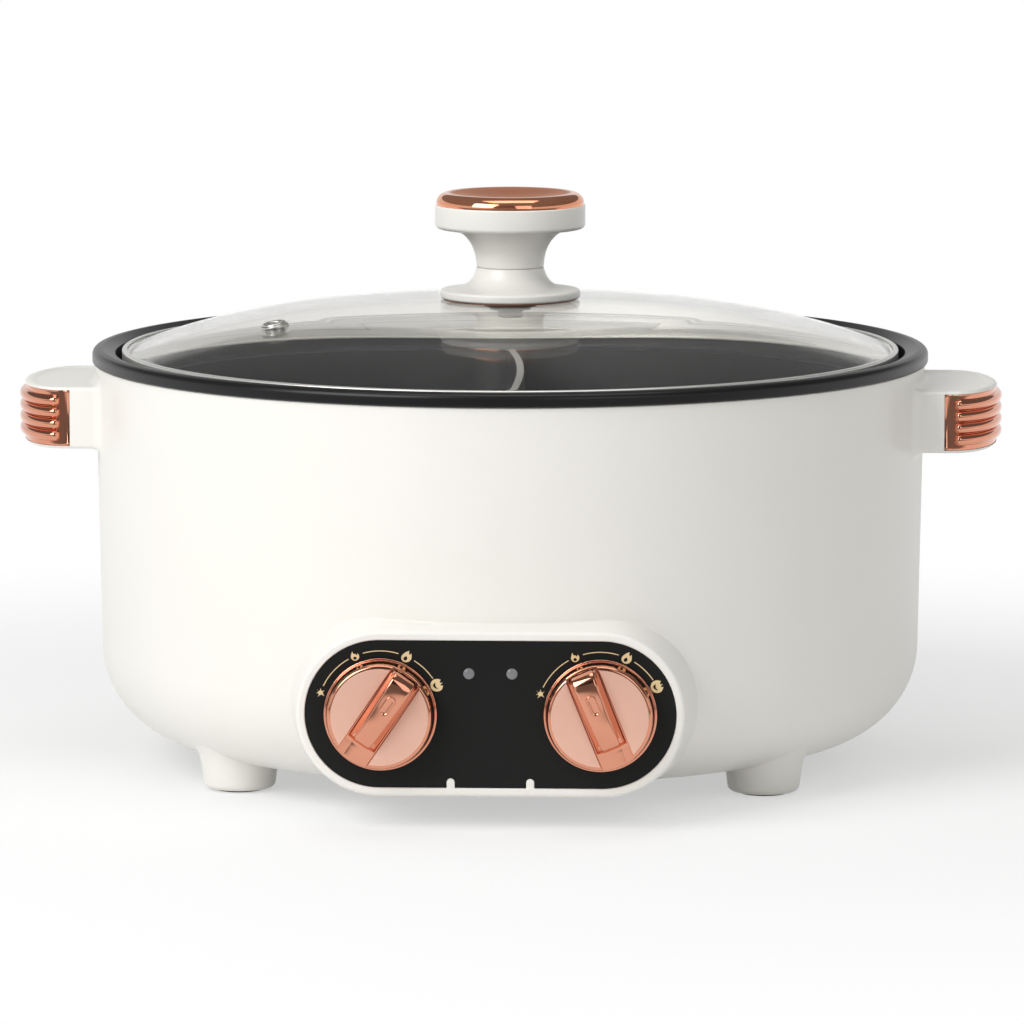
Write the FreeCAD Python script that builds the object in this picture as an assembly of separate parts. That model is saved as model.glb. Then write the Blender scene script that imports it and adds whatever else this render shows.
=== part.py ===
import FreeCAD, Part
import math
import os

Vector = FreeCAD.Vector
X = Vector(1, 0, 0)
Y = Vector(0, 1, 0)
Z = Vector(0, 0, 1)

# Electric hot pot with a divided inner pot, a glass lid and two heat controls.
# Millimetres, +Z up, front towards -Y, origin on the floor under the pot's axis.

# Allowances used throughout
past_face = 1.0
round_limit = 0.999
tip_gap = 0.3
face_gap = 0.1

# Outer housing
body_bottom = 10.0
base_depth = 36.0
body_top_radius = 161.3
body_draft_deg = 1.1
body_corner_radius = 36.5
body_wall = 3.0
floor_opening_setback = 61.3
floor_lip_width = 14.0
floor_lip_thickness = 2.4
cover_seat_width = 8.3

# Feet
foot_setback = 33.24
foot_angle_deg = 38.66
foot_base_radius = 13.5
foot_top_radius = 23.0
foot_flare_height = 27.0
foot_stem_height = 12.2
foot_stem_flare = 1.5
foot_curve_radius = 20.0
foot_edge_radius = 2.5
foot_wall = 3.0
foot_lift = 0.8
pad_radius = 9.0
pad_thickness = 2.6
pad_clearance = 0.15

# Side handles
handle_reach = 28.3
handle_half_width = 38.0
handle_thickness = 24.0
handle_top_drop = 7.5
handle_end_depth = 18.0
handle_dish_inset = 4.5
handle_dish_depth = 0.6
handle_edge_radius = 1.8
handle_root_radius = 4.0
handle_wall = 5.0
handle_roof = 3.2
grip_reach_back = 18.0
grip_thickness = 2.0
grip_margin = 1.3
grip_rib_count = 4
grip_rib_pitch = 4.5
grip_rib_radius = 2.0
grip_rib_sink = 0.1
grip_rib_setback = 2.0
grip_clearance = 0.15

# Rim ring
ring_overhang = 1.2
ring_crest_height = 7.5
ring_crest_width = 5.0
ring_crest_radius = 3.2
ring_inner_drop = 3.2
ring_edge_radius = 0.8
ring_inner_slope = 3.8
ring_skirt_depth = 8.5
ring_ledge_width = 3.4
ring_ledge_thickness = 2.5
ring_fit = 0.3

# Inner pot
pot_flange_thickness = 2.5
pot_rim_wall = 2.3
pot_shoulder_drop = 5.7
pot_shoulder_radius = 3.0
pot_shoulder_width = 5.5
pot_well_draft_deg = 2.2
pot_depth = 107.0
pot_floor_thickness = 4.0
pot_wall = 2.8
pot_floor_radius = 10.0
pot_flange_fit = 0.5
divider_thickness = 3.2
divider_swing = 4.0
divider_turn_deg = 2.45
divider_inflection = -40.0
divider_corner_radius = 12.0

# Heating and temperature control under the pot
heater_setback = 74.0
heater_middle_gap = 30.0
heater_tube_radius = 3.25
heater_gap_deg = 60.0
heater_bend_radius = 6.0
heater_tail = 5.0
contact_gap = 0.2
thermostat_radius = 8.0
thermostat_height = 11.0
thermostat_ear_reach = 12.0
thermostat_ear_thickness = 1.0
thermostat_ear_radius = 4.0
thermostat_ear_drop = 8.0
fuse_offset = 24.0
fuse_radius = 2.2
fuse_length = 15.0
fuse_clip_width = 6.0
fuse_clip_length = 5.0

# Heat shield, studs and base cover
stud_inset = 7.0
stud_count = 3
stud_radius = 2.5
stud_engagement = 7.0
stud_root = 2.5
spacer_wall = 1.8
stud_clearance = 0.15
shield_drop = 17.0
shield_thickness = 0.8
shield_overlap = 14.0
shield_rim = 8.0
shield_bend_radius = 4.0
standoff_across_flats = 8.0
cover_thickness = 2.6
cover_clearance = 0.3
cover_edge_radius = 0.6
slot_width = 3.2
slot_length = 16.0
slot_circle = 62.0
slot_count = 20

# Screws
screw_radius = 1.5
screw_head_radius = 2.8
screw_head_height = 1.6
screw_slot_width = 0.6
screw_clearance = 0.15
screw_engagement = 5.0
boss_radius = 4.0
boss_height = 7.0
cover_screw_count = 5

# Control housing on the front
panel_stand_off = 9.1
panel_length = 144.0
panel_height = 61.7
panel_centre_height = 43.7
panel_rim = 3.3
panel_wall = 2.4
panel_plate = 2.5
panel_edge_radius = 1.6
panel_draft_deg = 7.5
panel_root = 64.0
panel_seat_gap = 0.15
panel_lift = 1.0
fascia_thickness = 2.0
fascia_sink = 0.4
fascia_clearance = 0.15
lug_spacing = 29.4
lug_width = 3.1
lug_height = 3.6
control_screw_spread = 40.0
control_screw_rise = 21.0
control_boss_depth = 7.0

# Heat controls
control_setback = 31.4
knob_radius = 21.0
knob_depth = 8.0
knob_taper = 1.5
knob_skirt = 1.4
knob_skirt_step = 0.5
knob_edge_radius = 1.3
knob_gap = 0.5
channel_half_front = 6.2
channel_half_back = 5.2
channel_depth = 0.8
blade_height = 6.0
blade_half_front = 4.5
blade_half_back = 0.6
blade_corner_radius = 2.4
blade_front_inset = 4.4
blade_ridge_drop = 0.6
blade_ridge_end = 1.0
blade_ridge_radius = 25.0
blade_peak_radius = 1.8
blade_edge_reach = 10.6
blade_edge_height = 2.3
blade_step = 1.0
blade_root = 0.6
marker_length = 7.2
marker_width = 2.6
marker_rise = 0.5
marker_offset = 5.9
knob_left_pointer_deg = 56.0
knob_right_pointer_deg = 112.0
shaft_radius = 3.0
shaft_flat = 0.6
shaft_fit = 0.05
shaft_in_knob = 7.0
shaft_in_switch = 12.0
fascia_shaft_gap = 1.0
switch_width = 29.0
switch_height = 34.0
switch_depth = 18.5
switch_corner_radius = 2.0
switch_screw_spacing = 27.0
terminal_width = 4.8
terminal_thickness = 0.8
terminal_length = 5.0
terminal_spacing = 7.5

# Indicator lamps
lamp_spacing = 15.9
lamp_rise = 15.2
lens_radius = 1.7
lens_flange_radius = 2.7
lens_flange_thickness = 0.8
lens_fit = 0.1
lens_proud = 0.2
lamp_radius = 1.5
lamp_length = 1.6
board_length = 30.0
board_width = 10.0
board_thickness = 1.0
board_post_radius = 2.0

# Power inlet at the back
inlet_stand_off = 20.2
inlet_housing_width = 60.0
inlet_housing_height = 34.0
inlet_housing_corner = 10.0
inlet_housing_root = 25.0
inlet_plate = 3.0
inlet_body_width = 28.0
inlet_body_height = 20.4
inlet_cavity_width = 24.0
inlet_cavity_height = 16.4
inlet_cavity_depth = 16.0
inlet_floor = 2.5
inlet_flange_width = 50.0
inlet_flange_height = 25.0
inlet_flange_thickness = 3.0
inlet_corner = 3.0
inlet_screw_spacing = 40.0
inlet_screw_head = 0.6
inlet_fit = 0.2
prong_width = 4.0
prong_thickness = 2.0
prong_spacing = 14.0
prong_rise = 4.0
prong_recess = 2.5
prong_tail = 7.0

# Terminal block under the heat shield
block_length = 32.0
block_width = 16.0
block_height = 9.0
block_reach = 62.0
block_way_radius = 1.8
block_way_spacing = 8.9
block_way_drop = 6.0
block_screw_spacing = 17.8
block_screw_depth = 3.0

# Glass lid
lid_clearance = 2.7
band_wall = 0.5
band_top_lip = 2.1
band_bottom_lip = 5.5
glass_thickness = 4.0
glass_rise = 22.9
glass_land = 1.7
crown_radius = 800.0
crown_reach = 80.0
band_fit = 0.1
lid_travel_hole_radius = 4.0
vent_reach = 100.0
vent_angle_deg = 208.0
vent_radius = 5.6
vent_bore = 2.3
vent_rise = 3.0
vent_neck_radius = 3.8
vent_flange_thickness = 0.9
vent_gap = 0.1
vent_flare = 1.5
vent_lip_radius = 4.2
vent_edge_radius = 0.4

# Lid knob
knob_gasket_radius = 26.5
knob_gasket_thickness = 1.1
skirt_radius = 27.0
skirt_edge = 3.2
skirt_edge_radius = 1.0
base_shoulder_rise = 1.6
base_shoulder_radius = 19.0
base_hollow_radius = 12.0
base_neck_height = 1.5
base_neck_curve = 3.0
waist_radius = 13.5
base_height = 11.2
grip_waist_height = 3.2
grip_flare_height = 13.0
grip_flare_radius = 20.0
grip_radius = 29.0
grip_under_radius = 2.5
grip_waist_rise = 2.0
grip_waist_curve = 8.0
grip_flare_drop = 2.5
grip_flare_curve = 5.0
grip_joint_radius = 0.5
grip_band_height = 7.0
cap_height = 5.7
cap_dish = 2.4
cap_roll_width = 6.0
cap_spigot_radius = 8.0
cap_spigot_depth = 3.0
knob_screw_radius = 2.5
knob_screw_head_radius = 4.8
knob_screw_head_height = 2.8
knob_screw_in_grip = 12.0
seal_radius = 10.0
seal_thickness = 1.2
washer_radius = 8.0
washer_thickness = 1.0

# Levels and radii that follow from the sizes above
body_height = base_depth + pot_depth + ring_skirt_depth - ring_ledge_thickness - pot_flange_thickness
body_top = body_bottom + body_height
draft_slope = math.tan(math.radians(body_draft_deg))
floor_opening_radius = body_top_radius - floor_opening_setback
cover_seat_radius = floor_opening_radius + cover_seat_width
cover_top = body_bottom + cover_thickness
lip_top = cover_top + floor_lip_thickness
ring_crest = body_top + ring_crest_height
ring_radius = body_top_radius + ring_overhang
ring_inner_radius = ring_radius - ring_crest_width - ring_inner_slope
ring_ledge_top = body_top - ring_skirt_depth + ring_ledge_thickness
flange_top = ring_ledge_top + pot_flange_thickness
pot_shoulder = flange_top - pot_shoulder_drop
pot_floor = flange_top - pot_depth
pot_collar_radius = ring_inner_radius - ring_ledge_width - pot_flange_fit
pot_mouth_radius = pot_collar_radius - pot_rim_wall
pot_well_radius = pot_mouth_radius - pot_shoulder_width
heater_offset = pot_well_radius - heater_setback
heater_ring_radius = heater_offset - heater_middle_gap
stud_circle = floor_opening_radius - stud_inset
shield_radius = floor_opening_radius + shield_overlap
pot_underside = pot_floor - pot_floor_thickness
shield_top = pot_underside - shield_drop
shield_bottom = shield_top - shield_thickness
panel_corner_radius = panel_height / 2
control_spacing = panel_length - 2 * control_setback
inlet_back = body_top_radius + inlet_stand_off
panel_front = body_top_radius + panel_stand_off
recess_back = panel_front - fascia_sink - fascia_thickness
plate_back = recess_back - panel_plate
fascia_front = panel_front - fascia_sink
knob_back = fascia_front + knob_gap
glass_edge_top = flange_top + band_wall + band_fit + glass_thickness
lid_radius = ring_inner_radius - lid_clearance
glass_edge_radius = lid_radius - band_wall - band_fit
glass_arc_radius = glass_edge_radius - glass_land
glass_apex = glass_edge_top + glass_rise
gasket_top = glass_apex + knob_gasket_thickness
base_top = gasket_top + base_height
band_low = base_top + grip_waist_height + grip_flare_height
band_high = band_low + grip_band_height
handle_top = body_top - handle_top_drop
handle_bottom = handle_top - handle_thickness


def body_radius(height):
    """Outer radius of the drafted side wall at a height."""
    return body_top_radius - (body_top - height) * draft_slope


handle_tip = body_radius(handle_top) + handle_reach


def rounded_edges(corners, place):
    """Closed outline through corners (u, v, radius), as lines and tangent arcs."""
    count = len(corners)
    spans = []
    for i in range(count):
        before = Vector(corners[i - 1][0], corners[i - 1][1], 0)
        here = Vector(corners[i][0], corners[i][1], 0)
        after = Vector(corners[(i + 1) % count][0], corners[(i + 1) % count][1], 0)
        radius = corners[i][2] if len(corners[i]) > 2 else 0
        if radius <= 0:
            spans.append((here, None, here))
            continue
        back = (before - here).normalize()
        ahead = (after - here).normalize()
        half = back.getAngle(ahead) / 2
        reach = radius / math.tan(half)
        inward = (back + ahead).normalize()
        centre = here + inward * (radius / math.sin(half))
        spans.append((here + back * reach, centre - inward * radius, here + ahead * reach))
    edges = []
    for i in range(count):
        start, middle, end = spans[i]
        if middle is not None:
            edges.append(Part.Arc(place(start), place(middle), place(end)).toShape())
        following = spans[(i + 1) % count][0]
        if (following - end).Length > 1e-6:
            edges.append(Part.LineSegment(place(end), place(following)).toShape())
    return edges


def on_section(point):
    """Section plane for turned shapes: u is the radius, v is the height."""
    return Vector(point.x, 0, point.y)


def on_plan(point):
    return Vector(point.x, point.y, 0)


def turned(corners):
    """Solid of revolution about Z from an outline of (radius, height, rounding)."""
    face = Part.Face(Part.Wire(rounded_edges(corners, on_section)))
    return face.revolve(Vector(0, 0, 0), Z, 360)


def plan_prism(corners, low, high):
    """Upright prism over a plan outline."""
    face = Part.Face(Part.Wire(rounded_edges(corners, on_plan)))
    solid = face.extrude(Z * (high - low))
    solid.translate(Z * low)
    return solid


def rectangle(width, height, radius, centre_v=0.0):
    half_u = width / 2
    half_v = height / 2
    radius = min(radius, half_u * round_limit, half_v * round_limit)
    return [
        (-half_u, centre_v - half_v, radius),
        (half_u, centre_v - half_v, radius),
        (half_u, centre_v + half_v, radius),
        (-half_u, centre_v + half_v, radius),
    ]


def front_prism(corners, outer, inner):
    """Prism along Y over a front-view outline, from y = -outer to y = -inner."""
    face = Part.Face(Part.Wire(rounded_edges(corners, lambda p: Vector(p.x, -outer, p.y))))
    return face.extrude(Y * (outer - inner))


def upright(radius, low, high, x=0.0, y=0.0):
    return Part.makeCylinder(radius, high - low, Vector(x, y, low))


def forward(radius, outer, inner, x, z):
    """Cylinder along Y from y = -outer to y = -inner."""
    return Part.makeCylinder(radius, outer - inner, Vector(x, -outer, z), Y)


def turn(shape, angle):
    copy = shape.copy()
    copy.rotate(Vector(0, 0, 0), Z, angle)
    return copy


def mirrored(shape):
    """The same piece on the other side of the YZ plane."""
    return shape.mirror(Vector(0, 0, 0), X)


def around(count, start=90.0):
    return [start + 360.0 * i / count for i in range(count)]


def polar(radius, angle):
    return radius * math.cos(math.radians(angle)), radius * math.sin(math.radians(angle))


def edges_at(shape, test):
    return [edge for edge in shape.Edges if test(edge)]


def save(name, *solids):
    shape = solids[0] if len(solids) == 1 else Part.makeCompound(list(solids))
    shape.exportStep("parts/" + name + ".step")


# ---------------------------------------------------------------- housing


def housing_outside(extra=0.0):
    """The housing's outer form as one solid, grown sideways by extra."""
    return turned([
        (0, body_bottom - extra),
        (body_radius(body_bottom) + extra, body_bottom - extra, body_corner_radius + extra),
        (body_top_radius + extra, body_top),
        (0, body_top),
    ])


def housing_inside():
    inner_low = body_bottom + body_wall
    return turned([
        (0, inner_low),
        (body_radius(inner_low) - body_wall, inner_low, body_corner_radius - body_wall),
        (body_top_radius - body_wall, body_top),
        (body_top_radius - body_wall, body_top + body_wall),
        (0, body_top + body_wall),
    ])


def handle_end_points(inset, height):
    """Centre, tip and half width of the handle's half-ellipse end."""
    centre = Vector(handle_tip - handle_end_depth, 0, height)
    return centre, handle_end_depth - inset, handle_half_width - inset


def end_arc(inset, height, setback=0.0):
    """Half-ellipse round the +X handle's end, from the back to the front."""
    centre, depth, half = handle_end_points(inset, height)
    ellipse = Part.Ellipse(centre + Y * half, centre + X * depth, centre)
    sweep = math.pi / 2 - math.asin(setback / depth)
    return ellipse, math.pi / 2 - sweep, math.pi / 2 + sweep


def handle_solid(inset, low, high, root=0.0):
    """Upright prism over the +X handle's plan, starting inside the body wall."""
    ellipse, first, last = end_arc(inset, low)
    arc = Part.ArcOfEllipse(ellipse, first, last).toShape()
    ends = [arc.valueAt(arc.FirstParameter), arc.valueAt(arc.LastParameter)]
    inner = [Vector(max(root, body_top_radius / 2), end.y, low) for end in ends]
    edges = [
        arc,
        Part.LineSegment(ends[1], inner[1]).toShape(),
        Part.LineSegment(inner[1], inner[0]).toShape(),
        Part.LineSegment(inner[0], ends[0]).toShape(),
    ]
    return Part.Face(Part.Wire(edges)).extrude(Z * (high - low))


def handle_lug():
    lug = handle_solid(0.0, handle_bottom, handle_top)
    rims = edges_at(lug, lambda e: e.BoundBox.ZLength < 1e-6 and e.BoundBox.XMax > body_top_radius)
    lug = lug.makeFillet(handle_edge_radius, rims)
    return lug.cut(handle_solid(handle_dish_inset, handle_top - handle_dish_depth, handle_top + past_face))


def handle_recess():
    """Finger hollow under the handle, outside the body wall."""
    root = body_radius(handle_bottom) + handle_root_radius
    return handle_solid(handle_wall, handle_bottom - past_face, handle_top - handle_roof, root)


def grip_zone(setback):
    """Everything outboard of where the grip insert starts."""
    start = handle_tip - grip_reach_back + setback
    size = handle_half_width * 4
    return Part.makeBox(handle_reach * 2, size, body_top, Vector(start, -size / 2, 0))


def grip_rebate():
    low = handle_bottom + grip_margin - grip_clearance
    high = handle_top - grip_margin + grip_clearance
    rim = handle_solid(-1.0, low, high)
    core = handle_solid(grip_thickness + grip_clearance, low, high)
    return rim.cut(core).common(grip_zone(0.0))


def foot_outside():
    return turned([
        (0, foot_lift),
        (foot_base_radius, foot_lift, foot_edge_radius),
        (foot_base_radius + foot_stem_flare, foot_lift + foot_stem_height, foot_curve_radius),
        (foot_top_radius, foot_lift + foot_flare_height),
        (0, foot_lift + foot_flare_height),
    ])


def foot_inside():
    """Hollow of a foot, open at the top into the housing."""
    low = pad_thickness + foot_wall
    high = foot_lift + foot_flare_height
    top_radius = foot_base_radius + foot_stem_flare - foot_wall
    return Part.makeCone(foot_base_radius - foot_wall, top_radius, high - low, Z * low)


def foot_places():
    x, y = polar(body_top_radius - foot_setback, foot_angle_deg)
    return [(sx * x, sy * y) for sx in (-1, 1) for sy in (-1, 1)]


def at_feet(shape):
    copies = []
    for x, y in foot_places():
        copy = shape.copy()
        copy.translate(Vector(x, y, 0))
        copies.append(copy)
    return copies


def outer_housing():
    outside = housing_outside()
    inside = housing_inside()
    shell = outside
    for lug in (handle_lug(), mirrored(handle_lug())):
        shell = shell.fuse(lug)
    for foot in at_feet(foot_outside()):
        shell = shell.fuse(foot)
    shell = shell.fuse(inlet_hump())
    for hollow in at_feet(foot_inside()):
        inside = inside.fuse(hollow)
    shell = shell.cut(inside)
    for recess in (handle_recess(), grip_rebate()):
        shell = shell.cut(recess).cut(mirrored(recess))
    for seat in at_feet(upright(pad_radius + pad_clearance, 0, pad_thickness)):
        shell = shell.cut(seat)
    shell = shell.fuse(floor_lip())
    shell = shell.cut(upright(floor_opening_radius, 0, lip_top + past_face))
    shell = shell.cut(upright(cover_seat_radius, 0, cover_top))
    for x, y in cover_screw_places():
        shell = shell.fuse(upright(boss_radius, cover_top, lip_top + boss_height, x, y))
        thread = cover_top + screw_engagement + past_face
        shell = shell.cut(upright(screw_radius + shaft_fit, 0, thread, x, y))
    for x, z in control_screw_places():
        shell = shell.fuse(control_boss(x, z))
    for x, z in control_screw_places():
        reach = body_top_radius + past_face
        shell = shell.cut(forward(screw_radius + screw_clearance, reach, boss_seat(z) - past_face, x, z))
    shell = cut_windows(shell)
    return cut_inlet(shell)


def floor_lip():
    return turned([
        (floor_opening_radius, cover_top),
        (floor_opening_radius + floor_lip_width, cover_top),
        (floor_opening_radius + floor_lip_width, lip_top),
        (floor_opening_radius, lip_top),
    ])


def cover_screw_places():
    circle = (floor_opening_radius + cover_seat_radius) / 2
    return [polar(circle, angle) for angle in around(cover_screw_count)]


def section_radius(height):
    """Outer radius of the housing, including its rounded lower corner."""
    corner_top = body_bottom + body_corner_radius
    if height >= corner_top:
        return body_radius(height)
    fall = corner_top - height
    flat = body_radius(corner_top) - body_corner_radius
    return flat + math.sqrt(body_corner_radius ** 2 - fall ** 2)


def control_screw_places():
    places = []
    for side in (-1, 1):
        for rise in (-1, 1):
            places.append((side * control_screw_spread / 2, panel_centre_height + rise * control_screw_rise))
    return places


def wall_front(x, z):
    """Distance of the housing's outer surface in front of the axis at (x, z)."""
    return math.sqrt(section_radius(z) ** 2 - x ** 2)


def boss_seat(z):
    """How far forward the flat seat of a control screw's inner boss lies."""
    return section_radius(z) - body_wall - control_boss_depth


def control_boss(x, z):
    length = forward(boss_radius, wall_front(x, z) - body_wall / 2, boss_seat(z), x, z)
    return length.common(housing_outside(-body_wall / 2))


def cut_windows(shell):
    """Openings behind the control housing for the two switches and the lamp wires."""
    width = switch_width + 2
    height = switch_height + 2
    for side in (-1, 1):
        x = side * control_spacing / 2 - width / 2
        corner = Vector(x, -body_top_radius - past_face, panel_centre_height - height / 2)
        shell = shell.cut(Part.makeBox(width, body_top_radius, height, corner))
    return shell


def inlet_hump():
    """Rear projection that carries the power inlet."""
    corners = rectangle(
        inlet_housing_width, inlet_housing_height, inlet_housing_corner, panel_centre_height
    )
    hump = front_prism(corners, inlet_housing_root - body_top_radius, -inlet_back)
    ends = edges_at(hump, lambda e: abs(e.BoundBox.YMin - inlet_back) < 1e-6)
    return hump.makeFillet(panel_edge_radius, ends)


def cut_inlet(shell):
    wall = inlet_plate
    hollow = rectangle(
        inlet_housing_width - 2 * wall, inlet_housing_height - 2 * wall,
        inlet_housing_corner - wall, panel_centre_height,
    )
    shell = shell.cut(front_prism(hollow, inlet_housing_root - body_top_radius, wall - inlet_back))
    opening = rectangle(
        inlet_body_width + 2 * inlet_fit, inlet_body_height + 2 * inlet_fit,
        inlet_corner + inlet_fit, panel_centre_height,
    )
    shell = shell.cut(front_prism(opening, -(inlet_back - wall - past_face), -(inlet_back + past_face)))
    for side in (-1, 1):
        hole = forward(
            screw_radius + shaft_fit, -(inlet_back - wall - 1), -(inlet_back + 1),
            side * inlet_screw_spacing / 2, panel_centre_height,
        )
        shell = shell.cut(hole)
    return shell


def foot_pads():
    return at_feet(upright(pad_radius, 0, pad_thickness))


def grip_insert():
    """Ribbed grip that wraps round the end of the +X handle."""
    low = handle_bottom + grip_margin
    high = handle_top - grip_margin
    band = handle_solid(0.0, low, high).common(grip_zone(grip_clearance))
    middle = (low + high) / 2
    first = middle - grip_rib_pitch * (grip_rib_count - 1) / 2
    for i in range(grip_rib_count):
        band = band.fuse(grip_rib(first + i * grip_rib_pitch))
    return band.cut(handle_solid(grip_thickness, low - past_face, high + past_face))


def grip_rib(height):
    """Round-ended bead along the handle's end at one height."""
    ellipse, first, last = end_arc(grip_rib_sink, height, grip_rib_setback)
    arc = Part.ArcOfEllipse(ellipse, first, last).toShape()
    ends = [arc.valueAt(arc.FirstParameter), arc.valueAt(arc.LastParameter)]
    bead = sweep_tube([arc], grip_rib_radius)
    for end in ends:
        bead = bead.fuse(Part.makeSphere(grip_rib_radius, end))
    return bead


# ---------------------------------------------------------------- rim ring and inner pot


def rim_ring():
    skirt_bottom = body_top - ring_skirt_depth
    skirt_radius_outer = body_radius(skirt_bottom) - body_wall - ring_fit
    ledge_radius = ring_inner_radius - ring_ledge_width
    crest_inner = ring_radius - ring_crest_width
    return turned([
        (ledge_radius, skirt_bottom),
        (skirt_radius_outer, skirt_bottom),
        (skirt_radius_outer, body_top),
        (ring_radius, body_top, ring_edge_radius),
        (ring_radius, ring_crest, ring_crest_radius),
        (crest_inner, ring_crest, ring_crest_radius / 2),
        (ring_inner_radius, ring_crest - ring_inner_drop, ring_edge_radius),
        (ring_inner_radius, ring_ledge_top),
        (ledge_radius, ring_ledge_top),
    ])


def pot_outside():
    flange_radius = ring_inner_radius - pot_flange_fit
    well_fall = (pot_shoulder - pot_underside) * math.tan(math.radians(pot_well_draft_deg))
    well_outer = pot_well_radius + pot_wall
    return turned([
        (0, pot_underside),
        (well_outer - well_fall, pot_underside, pot_floor_radius + pot_wall),
        (well_outer, pot_shoulder - pot_wall),
        (pot_collar_radius, pot_shoulder - pot_wall, pot_wall),
        (pot_collar_radius, ring_ledge_top),
        (flange_radius, ring_ledge_top),
        (flange_radius, flange_top),
        (0, flange_top),
    ])


def pot_mouth():
    return turned([
        (0, pot_shoulder),
        (pot_mouth_radius - pot_shoulder_radius / 4, pot_shoulder, pot_shoulder_radius),
        (pot_mouth_radius, flange_top),
        (pot_mouth_radius, flange_top + 1),
        (0, flange_top + 1),
    ])


def well_outline(side, drop, height):
    """Plan outline of one compartment at a height; side is +1 or -1.

    The dividing line is two tangent arcs that meet at the inflection.
    """
    slope = math.tan(math.radians(pot_well_draft_deg)) * drop
    wall = pot_well_radius - slope
    half = divider_thickness / 2 + slope
    chord_far = pot_well_radius - divider_inflection
    far_radius = (chord_far ** 2 / 4 + divider_swing ** 2) / (2 * divider_swing)
    chord_near = pot_well_radius + divider_inflection
    lean = math.asin(chord_far / 2 / far_radius)
    near_radius = chord_near / 2 / math.sin(lean)
    far_centre = Vector(divider_swing - far_radius, divider_inflection + chord_far / 2, 0)
    near_centre = Vector(near_radius * math.cos(lean), divider_inflection - chord_near / 2, 0)
    far_arc = far_radius + side * half
    near_arc = near_radius - side * half
    meet = Vector(0, divider_inflection, 0)
    meet_far = far_centre + (meet - far_centre).normalize() * far_arc
    meet_near = near_centre + (meet - near_centre).normalize() * near_arc
    joint = (meet_far + meet_near) / 2
    far_end = circle_crossing(far_centre, far_arc, wall, 1)
    near_end = circle_crossing(near_centre, near_arc, wall, -1)
    far_middle = far_centre + ((far_end + joint) / 2 - far_centre).normalize() * far_arc
    near_middle = near_centre + ((near_end + joint) / 2 - near_centre).normalize() * near_arc
    lift = Z * height
    return Part.Wire([
        Part.Arc(far_end + lift, far_middle + lift, joint + lift).toShape(),
        Part.Arc(joint + lift, near_middle + lift, near_end + lift).toShape(),
        Part.Arc(near_end + lift, Vector(side * wall, 0, height), far_end + lift).toShape(),
    ])


def circle_crossing(centre, radius, wall, end):
    """Point where a dividing arc meets the round wall, at the far (+1) or near (-1) end."""
    distance = centre.Length
    along = (wall ** 2 - radius ** 2 + distance ** 2) / (2 * distance)
    across = math.sqrt(wall ** 2 - along ** 2)
    direction = centre * (1 / distance)
    normal = Vector(-direction.y, direction.x, 0)
    first = direction * along + normal * across
    second = direction * along - normal * across
    return first if (first.y - second.y) * end > 0 else second


def pot_well(side):
    """Cutting solid for one compartment, with rounded corners and floor edge."""
    margin = 1.0
    top = well_outline(side, -margin, pot_shoulder + margin)
    bottom = well_outline(side, pot_shoulder - pot_floor, pot_floor)
    well = Part.makeLoft([bottom, top], True, True)
    corners = edges_at(
        well,
        lambda e: e.BoundBox.ZLength > 1 and abs(e.CenterOfMass.y) > pot_well_radius / 2,
    )
    well = well.makeFillet(divider_corner_radius, corners)
    floor_edges = edges_at(
        well, lambda e: e.BoundBox.ZMax < pot_floor + 1e-4
    )
    return well.makeFillet(pot_floor_radius, floor_edges)


def inner_pot():
    pot = pot_outside().cut(pot_mouth())
    for side in (-1, 1):
        pot = pot.cut(turn(pot_well(side), divider_turn_deg))
    for x, y in thermostat_screw_places():
        ear_top = pot_underside - thermostat_ear_drop
        pot = pot.fuse(upright(boss_radius, ear_top, pot_underside, x, y))
        pot = pot.cut(upright(screw_radius + shaft_fit, ear_top, pot_underside, x, y))
    for x, y in stud_places():
        pot = pot.cut(upright(stud_radius + shaft_fit, pot_underside, pot_underside + stud_root, x, y))
    return pot


# ---------------------------------------------------------------- heating


def heater(side):
    """Open tubular ring under one compartment, with both ends turned down."""
    level = pot_underside - contact_gap - heater_tube_radius
    centre = Vector(side * heater_offset, 0, level)
    start = heater_gap_deg / 2
    ring_centre_angle = 0.0 if side > 0 else 180.0
    points = []
    for angle in (start, 180.0, 360.0 - start):
        x, y = polar(heater_ring_radius, ring_centre_angle + angle)
        points.append(centre + Vector(x, y, 0))
    ring = Part.Arc(*points).toShape()
    pieces = [sweep_tube([ring], heater_tube_radius)]
    for end in (0, 2):
        pieces.append(heater_end(points[end], centre, 1 if end == 0 else -1))
    body = pieces[0]
    for piece in pieces[1:]:
        body = body.fuse(piece)
    return body


def heater_end(point, centre, sense):
    """Quarter bend from the ring's end down to a short straight tail."""
    radial = (point - centre).normalize()
    onward = Vector(radial.y * sense, -radial.x * sense, 0)
    bend = heater_bend_radius
    turn_middle = point + onward * (bend * math.sin(math.pi / 4)) - Z * (bend * (1 - math.cos(math.pi / 4)))
    turn_end = point + onward * bend - Z * bend
    tail_end = turn_end - Z * heater_tail
    arc = Part.Arc(point, turn_middle, turn_end).toShape()
    tail = Part.LineSegment(turn_end, tail_end).toShape()
    return sweep_tube([arc, tail], heater_tube_radius)


def sweep_tube(edges, radius):
    path = Part.Wire(edges)
    start = path.OrderedVertexes[0].Point
    first = path.OrderedEdges[0]
    direction = first.tangentAt(first.FirstParameter)
    if (first.valueAt(first.FirstParameter) - start).Length > 1e-6:
        direction = first.tangentAt(first.LastParameter)
    circle = Part.Wire(Part.makeCircle(radius, start, direction))
    return path.makePipeShell([circle], True, False)


def thermostat_screw_places():
    reach = thermostat_ear_reach
    return [(sx * heater_offset, sy * reach) for sx in (-1, 1) for sy in (-1, 1)]


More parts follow.
